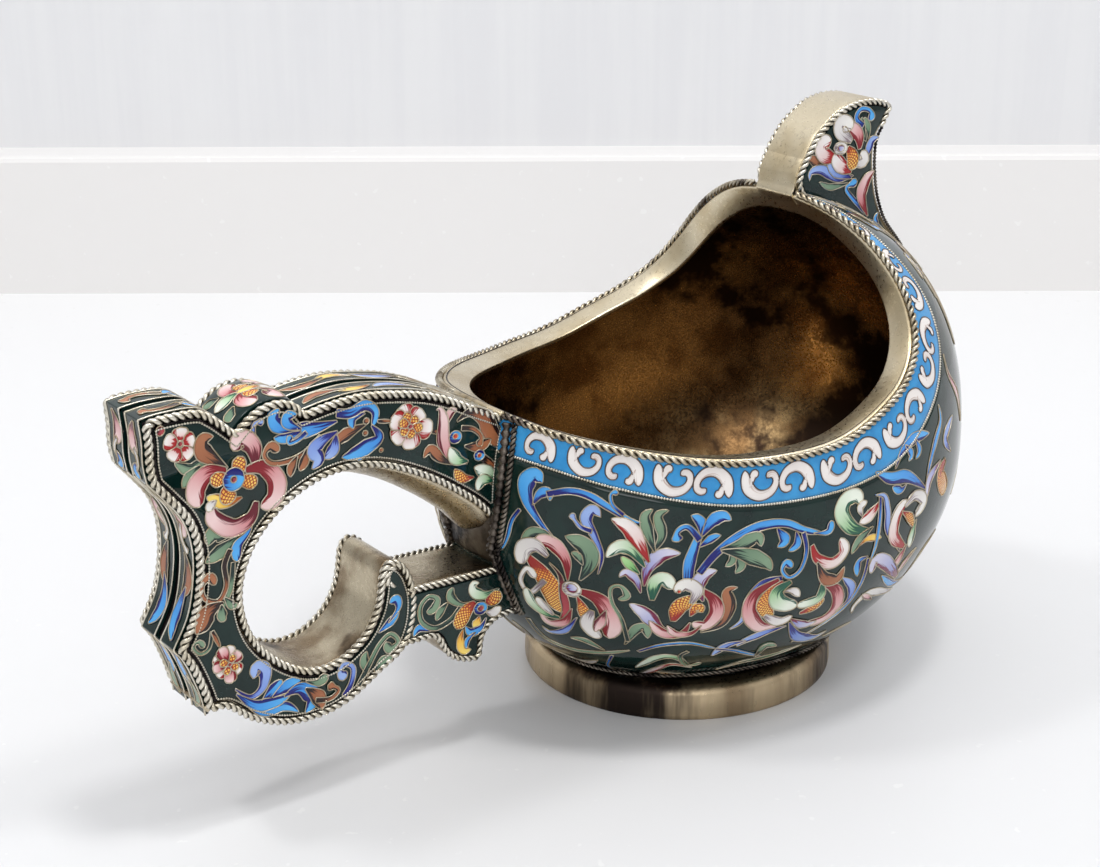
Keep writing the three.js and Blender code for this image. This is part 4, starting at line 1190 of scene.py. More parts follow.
def makeProwBend():
    line = smoothLine(rimLine[-1] + np.array(prowBend), step=0.3)
    rows = bandRows(line, prow["stripHalf"] + 0.6)
    piece = wrappedSheet("prowBend", rows, (-1, 0, 0), 0.5, bevel=0.12)
    dressed(piece, lipSilver, "silver_gilt")


makeHandle()
makeBump()
makeHandleWires()
makeJoint("arm")
makeJoint("bracket")
makeArmBelly()
makeShadedBareEnd()
makeBracket()
makeProw()
makeProwBend()
print("handle, bracket and prow made")


# Paints of the leaves: at the base, at the tip, the ink, and how far the ink washes the base and one edge
paints = {
    "blue": ((44, 124, 210), (82, 168, 232), (16, 20, 108), 0.7, 0.95),
    "periwinkle": ((84, 116, 205), (150, 176, 228), (24, 28, 118), 0.85, 0.8),
    "lavender": ((112, 122, 196), (208, 206, 226), (112, 20, 60), 0.8, 0.7),
    "sage": ((92, 122, 98), (126, 152, 124), (22, 42, 40), 0.8, 0.75),
    "green": ((92, 165, 84), (170, 212, 146), (24, 76, 50), 0.75, 0.6),
    "brown": ((140, 80, 50), (166, 106, 72), (36, 20, 18), 0.85, 0.8),
    "white": ((206, 200, 200), (236, 233, 228), (128, 112, 118), 0.6, 0.5),
    "greenWhite": ((112, 178, 98), (232, 238, 224), (24, 84, 64), 0.85, 0.65),
    "whiteRed": ((222, 178, 174), (238, 232, 228), (160, 24, 26), 1.0, 0.75),
    "redPetal": ((190, 74, 84), (232, 200, 198), (128, 14, 28), 0.95, 0.85),
    "pink": ((190, 98, 106), (234, 204, 202), (98, 16, 34), 0.9, 0.85),
    "darkRed": ((112, 26, 38), (176, 66, 74), (58, 8, 20), 0.8, 0.5),
    "red": ((188, 36, 28), (214, 84, 44), (92, 10, 12), 0.7, 0.4),
    "net": ((240, 158, 50), (246, 208, 104), (150, 34, 26), 0.8, 0.35),
    "yellow": ((236, 172, 54), (246, 216, 112), (162, 78, 30), 0.7, 0.4),
    "scroll": ((222, 214, 210), (232, 226, 222), (190, 170, 160), 0.35, 0.45),
}
profiles = {
    "leaf": ((0, 0.12), (0.25, 0.55), (0.55, 1), (0.8, 0.75), (0.95, 0.3), (1, 0)),
    "petal": ((0, 0.3), (0.3, 0.8), (0.6, 1), (0.85, 0.85), (0.96, 0.5), (1, 0)),
    "stem": ((0, 0.75), (0.5, 1), (0.9, 0.6), (1, 0.15)),
    "drop": ((0, 0.1), (0.4, 0.45), (0.75, 1), (0.93, 0.7), (1, 0)),
    "curl": ((0, 0.6), (0.5, 0.5), (0.8, 0.45), (0.9, 1), (0.97, 0.8), (1, 0)),
    "band": ((0, 0), (0.03, 0.5), (0.1, 0.62), (0.2, 0.5), (0.35, 0.62), (0.55, 0.85), (0.76, 1), (0.9, 0.74),
             (0.97, 0.44), (1, 0)),
    "round": tuple(((1 - math.cos(turn)) / 2, math.sin(turn)) for turn in np.linspace(0, math.pi, 13)),
}
spread = {"leaf": 1.18, "petal": 1.2, "drop": 1.12}
pad = {"step": 0.42, "columns": 7, "lift": 0.05, "layer": 0.035, "crown": 0.025, "depth": 0.35, "least": 0.03,
       "bend": 0.85}
cell = {"radius": 0.14, "step": 0.5, "lift": 0.02, "sides": 4}


class StripGround:
    # A strip that runs along part of an outline, which may be domed across

    def __init__(self, outline, span, inset, half=1.0, rise=0.0):
        self.line = evenly(stretch(outline, span, inset, 2), step=0.1)
        outward = outwardAt(outline, self.line)[::2]
        normals = leftNormals(self.line)
        self.normals = normals * np.sign(normals[len(normals) // 2] @ outward)
        self.length = runLength(self.line)
        self.half, self.rise = half, rise

    def nearest(self, points):
        flat = np.asarray(points)[..., None, ::2] - self.line
        return (flat ** 2).sum(-1).argmin(-1)

    def snap(self, points):
        nearest = self.nearest(points)
        across = points[..., 1]
        raised = self.line[nearest] + (self.rise * (1 - (across / self.half) ** 2))[..., None] * self.normals[nearest]
        return np.stack([raised[..., 0], across, raised[..., 1]], axis=-1)

    def normal(self, points):
        flat = self.normals[self.nearest(points)]
        return np.stack([flat[..., 0], np.zeros(flat.shape[:-1]), flat[..., 1]], axis=-1)

    def placed(self, shares):
        shares = np.asarray(shares, float)
        along = shares[:, 0] * self.length[-1]
        x, z = columnsAt(along, self.length, self.line).T
        return self.snap(np.stack([x, shares[:, 1], z], axis=1))

    def chart(self, points):
        return np.stack([self.length[self.nearest(points)], points[..., 1]], axis=-1)


# Which points of a flat chart lie inside a closed polygon
def insidePolygon(points, polygon):
    following = np.roll(polygon, -1, axis=0)
    x, y = points[:, :1], points[:, 1:]
    crosses = (polygon[:, 1] > y) != (following[:, 1] > y)
    fall = following[:, 1] - polygon[:, 1]
    where = polygon[:, 0] + (y - polygon[:, 1]) * (following[:, 0] - polygon[:, 0]) / np.where(fall == 0, 1, fall)
    return ((crosses & (x < where)).sum(1) % 2).astype(bool)


# One leaf: its middle line, the way across it, its two half widths and its closed edge
def leafShape(ground, kind, halfWidth, spine):
    spine = np.asarray(spine, float)
    count = int(np.clip(runLength(spine)[-1] / pad["step"], 11, 44))
    line = ground.snap(smoothLine(spine, count=count))
    along = runLength(line)
    tangent = lineTangents(line)
    side = unit(np.cross(ground.normal(line), tangent))
    width = np.interp(along / along[-1], *zip(*profiles[kind])) * halfWidth * spread.get(kind, 1)
    bend = (np.gradient(tangent, axis=0) * side).sum(1) / np.maximum(np.gradient(along), 1e-6)
    bend = softened(bend[:, None], 3)[:, 0]
    left, right = (np.maximum(np.minimum(width, pad["bend"] / np.maximum(towards, 1e-6)), pad["least"])
                   for towards in (bend, -bend))
    edge = np.vstack([line + side * left[:, None], (line - side * right[:, None])[::-1]])
    edge = evenly(np.vstack([edge, edge[:1]]), step=cell["step"])
    return {"line": line, "along": along, "side": side, "left": left, "right": right, "edge": edge,
            "chart": ground.chart(edge), "inkSide": -1 if bend.mean() < 0 else 1}


def overlapping(first, second):
    apart = (first.min(0) > second.max(0)) | (second.min(0) > first.max(0))
    return not apart.any() and (insidePolygon(first, second).any() or insidePolygon(second, first).any())


# The raised enamel of a leaf as closed rings, with its paint, ink, wash and brush strokes
def leafPad(ground, shape, colours, height, seed):
    across = np.linspace(1, -1, pad["columns"])
    reach = np.where(across > 0, shape["left"][:, None], shape["right"][:, None]) * across
    top = ground.snap(shape["line"][:, None] + reach[..., None] * shape["side"][:, None])
    normals = ground.normal(top)
    low = top[:, [-1, 0]] - pad["depth"] * normals[:, [-1, 0]]
    top = top + (height + pad["crown"] * (1 - across ** 2))[None, :, None] * normals
    rings = np.concatenate([top, low], axis=1)
    across = np.concatenate([across, [-1, 1]])
    reach = np.concatenate([reach, reach[:, [-1, 0]]], axis=1)
    share = (shape["along"] / shape["along"][-1])[:, None]
    base, tip, ink, washBase, washEdge = colours
    blend = np.clip(share * 1.5 - 0.2, 0, 1)[..., None] * np.ones((1, len(across), 1))
    paint = np.array(shade(base)) * (1 - blend) + np.array(shade(tip)) * blend
    inked = np.broadcast_to(shade(ink), paint.shape)
    atBase = washBase * np.clip(1.25 - share / 0.45, 0, 1)
    atEdge = washEdge * np.clip(across * shape["inkSide"] * 1.7 - 0.1, 0, 1)
    wash = np.maximum(atBase, atEdge[None])
    net = np.full(wash.size, float(colours is paints["net"]))
    brush = np.stack([shape["along"][:, None] + seed * 7.3 + 0 * reach, reach + seed * 3.1], axis=-1)
    return (rings.reshape(-1, 3), paint.reshape(-1, 4), inked.reshape(-1, 4), wash.ravel(), brush.reshape(-1, 2), net,
            len(rings), len(across))


# The wire round a leaf, where no later leaf covers it
def cellTubes(ground, shape, height, covers):
    edge = shape["edge"][:-1]
    shown = np.ones(len(edge), bool)
    for cover in covers:
        shown &= ~insidePolygon(shape["chart"][:-1], cover)
    if shown.all():
        runs = [np.append(np.arange(len(edge)), 0)]
    else:
        order = np.roll(np.arange(len(edge)), -int(np.argmin(shown)))
        ends = np.flatnonzero(np.diff(np.concatenate([[0], shown[order].astype(int), [0]])))
        runs = [order[np.arange(max(first - 1, 0), min(last + 1, len(order)))]
                for first, last in zip(ends[::2], ends[1::2]) if last - first > 2]
    for run in runs:
        line = ground.snap(edge[run])
        normals = ground.normal(line)
        yield plainTube(line + (height + cell["lift"]) * normals, normals, cell["radius"], cell["sides"])


# All the leaves of one ground as one piece of enamel and one of wire. A later leaf lies over an earlier one.
def makeMotifs(name, ground, leaves, slot="field_enamel", mirrored=True, wire=cellWire):
    shapes = [leafShape(ground, kind, width, spine) for _, kind, width, spine in leaves]
    overlaps = [[overlapping(shape["chart"], other["chart"]) for other in shapes] for shape in shapes]
    levels = []
    for index in range(len(shapes)):
        levels.append(max([levels[other] + 1 for other in range(index) if overlaps[index][other]], default=0))
    pads, faces, tubes, start = [], [], [], 0
    for index, (shape, (paint, *_)) in enumerate(zip(shapes, leaves)):
        height = pad["lift"] + pad["layer"] * levels[index]
        *values, rings, columns = leafPad(ground, shape, paints[paint], height, index)
        faces += ringFaces(rings, columns, start)
        start += rings * columns
        pads.append(values)
        covers = [other["chart"] for place, other in enumerate(shapes) if overlaps[index][place]
                  and (place > index or paint == "scroll" and place != index)]
        tubes += cellTubes(ground, shape, height, covers)
    points, paint, ink, wash, brush, net = (np.concatenate(values) for values in zip(*pads))
    shares = {"paint": paint, "ink": ink, "wash": wash, "net": net}
    piece = meshPiece(name + "EnamelRight", points, faces, shares, brush)
    dressed(piece, paintedEnamel, slot)
    wires = dressed(wirePiece(name + "CellsRight", tubes), wire, "twisted_wire")
    if mirrored:
        otherSide(piece, slot)
        otherSide(wires, "twisted_wire")


# A table row is a paint, a form, a half width and the middle line from base to tip, in pixels of the photograph
pixelsPerMm = 4.6


def seenLeaves(ground, rows):
    return [(paint, kind, width, ground.hit(np.reshape(pixels, (-1, 2)))) for paint, kind, width, *pixels in rows]


def petals(paint, width, centre, tips, start=0.2):
    rows = []
    for tip in np.reshape(tips, (-1, 2)):
        base = np.array(centre) + start * (tip - centre)
        rows.append((paint, "petal", width, *base, *(base + tip) / 2, *tip))
    return rows


def dot(paint, radius, x, y):
    reach = radius * pixelsPerMm
    return (paint, "round", radius, x - reach, y, x, y, x + reach, y)


# The foliage round the bowl's field, from the handle to the right edge of the photograph
bowlPixels = [
    ("blue", "stem", 0.55, 520, 509, 512, 520, 508, 535, 504, 545, 500, 550),
    ("blue", "drop", 1.9, 556, 541, 540, 522, 528, 502, 526, 484, 535, 475, 543, 483),
    ("blue", "leaf", 1.0, 533, 505, 540, 494, 549, 492, 550, 501),
    ("blue", "stem", 0.85, 547, 494, 570, 491, 590, 496, 610, 508, 630, 520, 642, 523),
    ("blue", "curl", 0.7, 624, 515, 613, 505, 611, 494, 619, 492),
    ("sage", "stem", 0.9, 528, 618, 545, 637, 570, 648, 600, 652, 630, 650),
    ("sage", "leaf", 1.2, 625, 644, 635, 630, 645, 627, 648, 638),
    ("sage", "leaf", 0.9, 605, 650, 585, 640, 570, 637),
    ("lavender", "leaf", 0.7, 512, 620, 522, 628, 534, 638),
    ("sage", "leaf", 1.0, 556, 545, 545, 533, 530, 533, 521, 545),
    ("net", "petal", 2.4, 528, 556, 541, 572, 552, 590, 561, 612),
    ("redPetal", "leaf", 1.5, 568, 580, 566, 560, 555, 545, 541, 540, 534, 549),
    ("white", "petal", 1.6, 548, 556, 536, 545, 524, 548, 520, 563),
    ("darkRed", "leaf", 0.9, 549, 562, 560, 575, 563, 592, 566, 610, 560, 622),
    ("white", "curl", 1.1, 545, 580, 530, 592, 521, 580, 527, 568, 536, 578),
    ("periwinkle", "leaf", 0.8, 577, 617, 565, 630, 550, 631, 542, 625),
    ("redPetal", "leaf", 1.1, 572, 608, 565, 621, 550, 622, 540, 612),
    ("greenWhite", "petal", 1.3, 560, 617, 545, 612, 532, 601, 527, 587),
    ("white", "petal", 1.0, 554, 614, 543, 604, 537, 596),
    ("redPetal", "petal", 2.0, 577, 590, 600, 600, 612, 620, 609, 638),
    ("net", "leaf", 1.2, 577, 596, 583, 608, 584, 620),
    ("white", "petal", 1.6, 592, 610, 588, 624, 599, 638),
    ("pink", "leaf", 1.1, 606, 610, 601, 620, 595, 631),
    ("whiteRed", "leaf", 0.9, 535, 640, 560, 652, 580, 660, 598, 660),
    ("sage", "leaf", 1.9, 580, 580, 590, 562, 585, 546, 565, 536),
    ("sage", "leaf", 0.8, 583, 565, 578, 556, 571, 552),
    ("periwinkle", "drop", 1.2, 598, 574, 602, 555, 594, 535, 586, 519, 593, 509, 601, 517),
    ("periwinkle", "curl", 0.9, 592, 531, 580, 526, 571, 513),
    dot("white", 2.1, 572, 589),
    dot("lavender", 1.3, 572, 588),
    ("sage", "curl", 0.8, 628, 641, 622, 620, 612, 602, 611, 588, 621, 586, 627, 596, 618, 599),
    ("greenWhite", "petal", 1.4, 652, 600, 655, 583, 665, 579, 673, 589),
    ("lavender", "leaf", 1.4, 644, 586, 648, 568, 662, 555, 681, 553),
    ("lavender", "leaf", 0.9, 641, 593, 636, 580, 626, 572, 619, 577),
    ("green", "leaf", 0.9, 640, 574, 628, 563, 621, 556),
    ("greenWhite", "leaf", 1.4, 645, 567, 632, 550, 618, 547, 606, 557),
    ("sage", "leaf", 1.0, 652, 553, 662, 536, 658, 516, 669, 510),
    ("sage", "leaf", 1.1, 655, 552, 648, 531, 645, 516, 653, 509),
    ("whiteRed", "leaf", 1.6, 649, 562, 640, 544, 628, 527, 611, 518),
    ("lavender", "leaf", 1.6, 675, 629, 660, 628, 645, 613, 629, 603),
    ("redPetal", "leaf", 1.3, 690, 622, 680, 634, 662, 632, 649, 620),
    ("blue", "stem", 0.6, 638, 651, 660, 645, 690, 643, 716, 648),
    ("greenWhite", "leaf", 1.1, 690, 665, 675, 657, 655, 658, 635, 667),
    ("whiteRed", "leaf", 1.0, 692, 667, 670, 664, 650, 671, 635, 677),
    ("net", "leaf", 0.8, 686, 673, 670, 673, 655, 671),
    ("blue", "curl", 0.6, 612, 655, 608, 665, 618, 670, 630, 672),
    ("blue", "stem", 1.3, 688, 590, 689, 566, 695, 546, 701, 531),
    ("blue", "curl", 1.2, 700, 540, 688, 527, 677, 532, 678, 542),
    ("blue", "leaf", 1.0, 701, 535, 700, 521, 691, 515),
    ("blue", "leaf", 1.3, 702, 536, 712, 521, 723, 516, 731, 520),
    ("blue", "leaf", 0.8, 699, 547, 712, 538, 721, 535),
    ("brown", "leaf", 1.4, 700, 632, 721, 624, 729, 605, 727, 591, 738, 587),
    ("redPetal", "petal", 1.5, 703, 590, 714, 600, 716, 613, 705, 625, 692, 622),
    ("redPetal", "leaf", 0.9, 701, 625, 690, 633, 675, 633, 667, 625),
    ("net", "petal", 1.7, 673, 621, 680, 606, 697, 599),
    ("net", "leaf", 1.2, 690, 616, 697, 607, 703, 612),
    ("lavender", "leaf", 1.5, 703, 601, 698, 586, 704, 575, 717, 570),
    ("white", "petal", 1.3, 691, 603, 697, 590, 685, 584, 675, 592),
    dot("red", 0.5, 679, 591),
    ("blue", "stem", 1.1, 699, 573, 714, 555, 735, 538, 760, 526, 785, 523, 805, 530, 824, 533),
    ("blue", "drop", 0.9, 813, 533, 828, 531, 831, 520),
    ("blue", "curl", 0.9, 803, 532, 806, 550, 800, 569, 789, 577, 782, 570, 786, 562, 792, 567),
    ("blue", "leaf", 1.1, 777, 528, 785, 540, 777, 547),
    ("blue", "leaf", 0.9, 796, 531, 797, 544, 788, 551),
    ("sage", "leaf", 1.4, 720, 549, 738, 545, 757, 537, 761, 546),
    ("sage", "leaf", 1.0, 735, 552, 741, 565, 735, 573),
    ("sage", "leaf", 0.8, 730, 550, 732, 560, 725, 566),
    ("sage", "leaf", 1.6, 721, 550, 745, 554, 765, 562, 771, 570),
    ("blue", "stem", 0.6, 868, 558, 862, 580, 850, 600, 838, 612, 820, 625, 790, 642),
    ("blue", "leaf", 0.9, 868, 556, 858, 562, 857, 576),
    ("periwinkle", "stem", 0.9, 782, 578, 762, 583, 748, 600, 742, 620, 729, 629),
    ("redPetal", "petal", 1.5, 779, 579, 755, 594, 749, 612, 761, 627, 781, 622),
    ("net", "petal", 1.4, 783, 581, 770, 592, 763, 605, 771, 617),
    ("redPetal", "petal", 1.5, 821, 581, 836, 590, 836, 606, 822, 619, 804, 623),
    ("net", "petal", 1.1, 799, 613, 815, 606, 823, 597),
    ("greenWhite", "petal", 1.3, 822, 583, 819, 597, 806, 603, 797, 604),
    ("greenWhite", "petal", 1.7, 791, 581, 777, 591, 779, 602, 796, 606),
    ("white", "leaf", 0.8, 783, 591, 793, 590, 799, 596),
    ("white", "petal", 1.2, 764, 615, 779, 621, 792, 615),
    ("lavender", "leaf", 1.1, 790, 618, 804, 624, 816, 620),
    ("whiteRed", "petal", 1.3, 812, 545, 817, 558, 832, 563, 844, 551, 840, 538),
    ("brown", "leaf", 1.4, 817, 562, 824, 577, 836, 579, 844, 566),
    ("periwinkle", "leaf", 1.0, 835, 611, 848, 599, 851, 586, 842, 577),
    ("periwinkle", "leaf", 1.2, 786, 625, 765, 632, 745, 640, 736, 646),
    ("periwinkle", "leaf", 1.1, 746, 640, 726, 645, 711, 655),
    ("periwinkle", "leaf", 1.5, 789, 622, 796, 635, 812, 637, 826, 630),
    ("blue", "stem", 0.5, 715, 648, 735, 650, 760, 655),
    ("sage", "leaf", 1.0, 715, 669, 740, 662, 770, 655, 801, 644),
    ("sage", "leaf", 0.9, 754, 656, 765, 645, 776, 645),
    ("sage", "curl", 0.8, 688, 651, 680, 656, 686, 665, 701, 662),
    ("pink", "leaf", 0.7, 822, 636, 838, 628, 851, 621),
    ("greenWhite", "petal", 1.7, 868, 531, 852, 528, 842, 514, 846, 500, 857, 496, 861, 504),
    ("whiteRed", "leaf", 1.3, 880, 501, 870, 515, 859, 523),
    ("white", "leaf", 0.9, 862, 516, 860, 507, 867, 501),
    ("sage", "leaf", 1.1, 873, 526, 859, 540, 851, 554),
    ("yellow", "leaf", 0.8, 858, 546, 868, 538, 881, 537),
    ("blue", "stem", 0.6, 880, 495, 879, 520, 875, 545, 869, 562),
    ("periwinkle", "leaf", 0.9, 899, 551, 888, 531, 887, 511, 884, 496, 875, 495),
    ("blue", "leaf", 1.4, 926, 489, 908, 477, 890, 478, 875, 472),
    ("blue", "leaf", 0.9, 906, 484, 901, 490, 892, 487),
    ("blue", "leaf", 1.2, 895, 469, 903, 450, 915, 438, 929, 433),
    ("blue", "leaf", 0.8, 905, 445, 911, 454, 908, 461),
    ("blue", "leaf", 0.8, 915, 439, 919, 450, 915, 459),
    ("blue", "leaf", 0.9, 925, 491, 929, 466, 935, 441, 940, 421, 938, 404),
    ("periwinkle", "leaf", 1.2, 950, 451, 945, 438, 952, 415),
    ("net", "petal", 2.0, 945, 459, 940, 475, 945, 491),
    ("lavender", "leaf", 1.2, 940, 460, 929, 479, 926, 498),
    ("whiteRed", "petal", 1.5, 903, 546, 893, 536, 896, 516, 906, 499),
    ("net", "leaf", 1.0, 901, 511, 909, 517, 912, 526),
    ("white", "petal", 1.2, 904, 506, 915, 495, 923, 501, 914, 516),
    ("greenWhite", "leaf", 1.3, 916, 519, 912, 532, 909, 547),
    ("redPetal", "leaf", 1.5, 906, 544, 898, 559, 889, 573),
    ("pink", "leaf", 1.1, 916, 547, 905, 561, 894, 576),
    ("lavender", "petal", 1.5, 896, 576, 885, 562, 875, 560, 871, 573),
    ("blue", "leaf", 0.9, 906, 579, 892, 583, 881, 575),
    ("white", "leaf", 1.1, 893, 589, 871, 592, 855, 604, 851, 613),
    ("pink", "leaf", 0.7, 871, 599, 862, 594),
    ("blue", "leaf", 0.8, 936, 529, 925, 545, 915, 560, 904, 576),
    ("pink", "leaf", 0.9, 943, 354, 948, 374, 957, 395, 960, 421),
]

# The handle's side: flowers, acanthus and scrolls
handlePixels = [
    dot("darkRed", 1.0, 160, 431),
    *petals("whiteRed", 1.45, (180, 444), (180, 427, 195, 438, 189, 459, 171, 461, 163, 441)),
    dot("darkRed", 0.6, 180, 444),
    ("sage", "leaf", 1.2, 225, 468, 205, 463, 190, 470, 174, 463),
    ("sage", "leaf", 1.2, 200, 465, 190, 477, 182, 488),
    ("brown", "leaf", 1.6, 227, 468, 211, 458, 202, 450, 203, 439, 213, 436),
    ("periwinkle", "curl", 0.9, 256, 446, 253, 432, 255, 423, 264, 422),
    ("sage", "leaf", 1.7, 240, 524, 225, 531, 212, 535, 208, 546),
    ("sage", "leaf", 1.4, 238, 536, 222, 550, 205, 563),
    ("blue", "drop", 1.1, 253, 514, 248, 532, 237, 546, 237, 562),
    ("pink", "petal", 1.7, 255, 466, 253, 447, 241, 439, 233, 451),
    ("redPetal", "petal", 1.8, 226, 470, 206, 474, 195, 490, 199, 507),
    ("redPetal", "petal", 1.8, 245, 470, 263, 467, 276, 480, 274, 498, 260, 507),
    ("pink", "petal", 1.7, 256, 501, 250, 518, 232, 528, 214, 519, 211, 506),
    ("yellow", "leaf", 1.3, 242, 497, 226, 502, 206, 497),
    ("net", "petal", 1.3, 236, 476, 239, 468, 237, 456),
    ("net", "petal", 1.3, 238, 480, 248, 481, 257, 484),
    ("net", "petal", 1.5, 230, 484, 227, 493, 231, 503),
    ("net", "petal", 1.3, 228, 478, 218, 479, 210, 484),
    ("white", "leaf", 0.9, 216, 500, 210, 506, 207, 512),
    dot("blue", 2.4, 233, 479),
    dot("darkRed", 0.7, 233, 479),
    ("blue", "leaf", 1.5, 337, 421, 315, 428, 295, 431, 278, 432),
    ("blue", "leaf", 1.0, 301, 431, 285, 438, 273, 438),
    ("blue", "curl", 0.9, 306, 432, 297, 440, 288, 443, 291, 435),
    ("blue", "leaf", 1.4, 297, 429, 280, 427, 273, 418, 279, 408),
    ("blue", "leaf", 1.1, 301, 429, 288, 424, 287, 416, 297, 414),
    ("brown", "curl", 1.1, 321, 436, 305, 452, 290, 460, 272, 463, 264, 455, 270, 446, 279, 451),
    ("brown", "leaf", 1.0, 306, 448, 304, 460, 299, 471),
    ("brown", "leaf", 0.9, 297, 455, 291, 467, 290, 477),
    ("brown", "leaf", 1.2, 366, 424, 350, 432, 338, 440, 331, 448),
    ("periwinkle", "leaf", 1.3, 336, 434, 333, 449, 324, 459),
    ("periwinkle", "leaf", 1.5, 337, 431, 322, 440, 314, 450, 318, 460, 311, 469),
    ("blue", "leaf", 0.9, 365, 413, 352, 418, 353, 429),
    ("blue", "stem", 1.2, 336, 413, 350, 413, 365, 405, 375, 412, 372, 427),
    ("blue", "leaf", 0.9, 366, 446, 361, 455, 357, 461),
    ("blue", "leaf", 1.5, 371, 425, 379, 437, 366, 447, 350, 455, 341, 457),
    dot("brown", 0.7, 366, 421),
    dot("brown", 0.6, 365, 433),
    dot("brown", 0.5, 381, 450),
    ("brown", "stem", 0.45, 377, 421, 392, 421),
    ("brown", "stem", 0.5, 431, 431, 446, 434),
    *petals("whiteRed", 1.9, (409, 426), (402, 405, 422, 409, 432, 430, 412, 449, 391, 440, 391, 417)),
    *petals("net", 0.9, (409, 426), (405, 412, 417, 416, 422, 428, 411, 438, 399, 434, 398, 421), 0.1),
    dot("darkRed", 0.6, 409, 426),
    ("pink", "leaf", 0.9, 446, 426, 450, 413, 457, 409),
    ("pink", "leaf", 1.4, 467, 463, 450, 459, 443, 440, 443, 420, 440, 409, 436, 410),
    ("brown", "leaf", 1.8, 457, 421, 470, 412, 484, 418, 491, 432, 500, 441, 508, 432),
    ("brown", "leaf", 1.2, 464, 446, 479, 446, 491, 439),
    ("brown", "curl", 1.0, 461, 428, 473, 429, 481, 437, 477, 446),
    ("brown", "leaf", 1.1, 452, 464, 440, 458, 430, 449, 423, 458),
    ("brown", "stem", 1.1, 482, 457, 491, 466, 497, 482),
    ("greenWhite", "leaf", 1.3, 468, 461, 456, 459, 449, 447),
    ("greenWhite", "leaf", 1.5, 498, 487, 488, 474, 474, 467),
    ("greenWhite", "leaf", 1.2, 494, 481, 482, 480, 477, 491),
    ("net", "leaf", 1.1, 474, 477, 462, 478, 454, 469),
    dot("blue", 1.4, 455, 437),
    dot("red", 0.6, 455, 436),
    dot("blue", 1.2, 479, 455),
    dot("red", 0.5, 479, 455),
    ("sage", "stem", 0.6, 233, 562, 231, 585, 226, 600, 219, 616),
    ("brown", "curl", 1.0, 230, 549, 224, 565, 226, 585, 218, 601, 204, 598, 202, 585, 210, 577, 215, 585),
    ("sage", "leaf", 0.8, 224, 597, 233, 606, 237, 602),
    ("brown", "leaf", 1.8, 223, 602, 208, 612, 202, 625, 195, 634),
    ("sage", "leaf", 1.0, 221, 604, 222, 617, 226, 619),
    ("sage", "curl", 0.7, 212, 631, 209, 648, 200, 654, 193, 647, 199, 642, 204, 648),
    ("brown", "stem", 0.5, 212, 631, 220, 647),
    *petals("whiteRed", 1.2, (229, 664), (229, 645, 241, 671, 217, 677, 213, 658)),
    *petals("redPetal", 1.2, (229, 664), (241, 652, 231, 683, 212, 668, 219, 648)),
    *petals("net", 0.7, (229, 664), (234, 654, 238, 668, 225, 675, 219, 662), 0.1),
    dot("darkRed", 0.5, 229, 664),
    ("periwinkle", "drop", 1.5, 235, 689, 250, 697, 262, 688, 265, 672, 257, 667, 253, 679),
    ("blue", "leaf", 1.1, 240, 698, 262, 711, 285, 706, 299, 712),
    ("blue", "leaf", 1.3, 262, 701, 275, 688, 282, 679),
    ("blue", "leaf", 1.2, 236, 694, 255, 705, 275, 702, 291, 694),
    ("blue", "leaf", 1.3, 272, 697, 290, 684, 301, 680),
    ("blue", "leaf", 1.7, 284, 696, 300, 688, 313, 698, 305, 713),
    ("sage", "drop", 1.1, 305, 681, 318, 682, 327, 674),
    ("brown", "leaf", 1.5, 305, 688, 318, 697, 322, 709),
    ("brown", "curl", 1.0, 315, 700, 330, 698, 338, 689, 327, 685),
    ("periwinkle", "curl", 1.2, 344, 696, 351, 683, 353, 668, 344, 664, 340, 673, 347, 677),
    ("sage", "leaf", 1.0, 368, 676, 364, 660, 367, 651),
    ("sage", "leaf", 1.1, 374, 672, 382, 662, 393, 657),
    ("sage", "curl", 1.1, 358, 686, 369, 664, 379, 645, 390, 634, 398, 641, 390, 649, 385, 642),
    ("blue", "leaf", 0.9, 378, 633, 391, 621, 399, 611),
    ("blue", "drop", 1.0, 388, 623, 398, 608, 396, 599, 389, 603),
]

# The bracket's side
bracketPixels = [
    ("blue", "leaf", 0.8, 431, 631, 419, 628, 413, 637),
    ("sage", "curl", 1.1, 461, 606, 450, 620, 435, 628, 422, 622, 420, 608, 428, 597, 437, 599, 433, 609, 426, 612),
    ("sage", "leaf", 0.9, 448, 602, 440, 612, 436, 621),
    ("sage", "drop", 1.0, 475, 601, 460, 604, 450, 596, 453, 587),
    ("greenWhite", "leaf", 1.1, 499, 588, 485, 595, 474, 592, 473, 584, 479, 583),
    ("net", "petal", 1.7, 475, 602, 465, 612, 456, 629),
    ("net", "petal", 1.5, 485, 601, 494, 598, 500, 591),
    ("white", "leaf", 1.1, 486, 612, 494, 612, 501, 606),
    ("yellow", "leaf", 1.1, 479, 616, 477, 622, 473, 628),
    ("yellow", "leaf", 1.1, 463, 629, 460, 640, 464, 650, 471, 649),
    ("blue", "leaf", 0.9, 486, 617, 480, 628, 470, 632, 465, 626),
    ("blue", "leaf", 0.6, 475, 632, 467, 640, 466, 649),
    dot("blue", 1.5, 480, 608),
    dot("darkRed", 0.7, 480, 608),
]

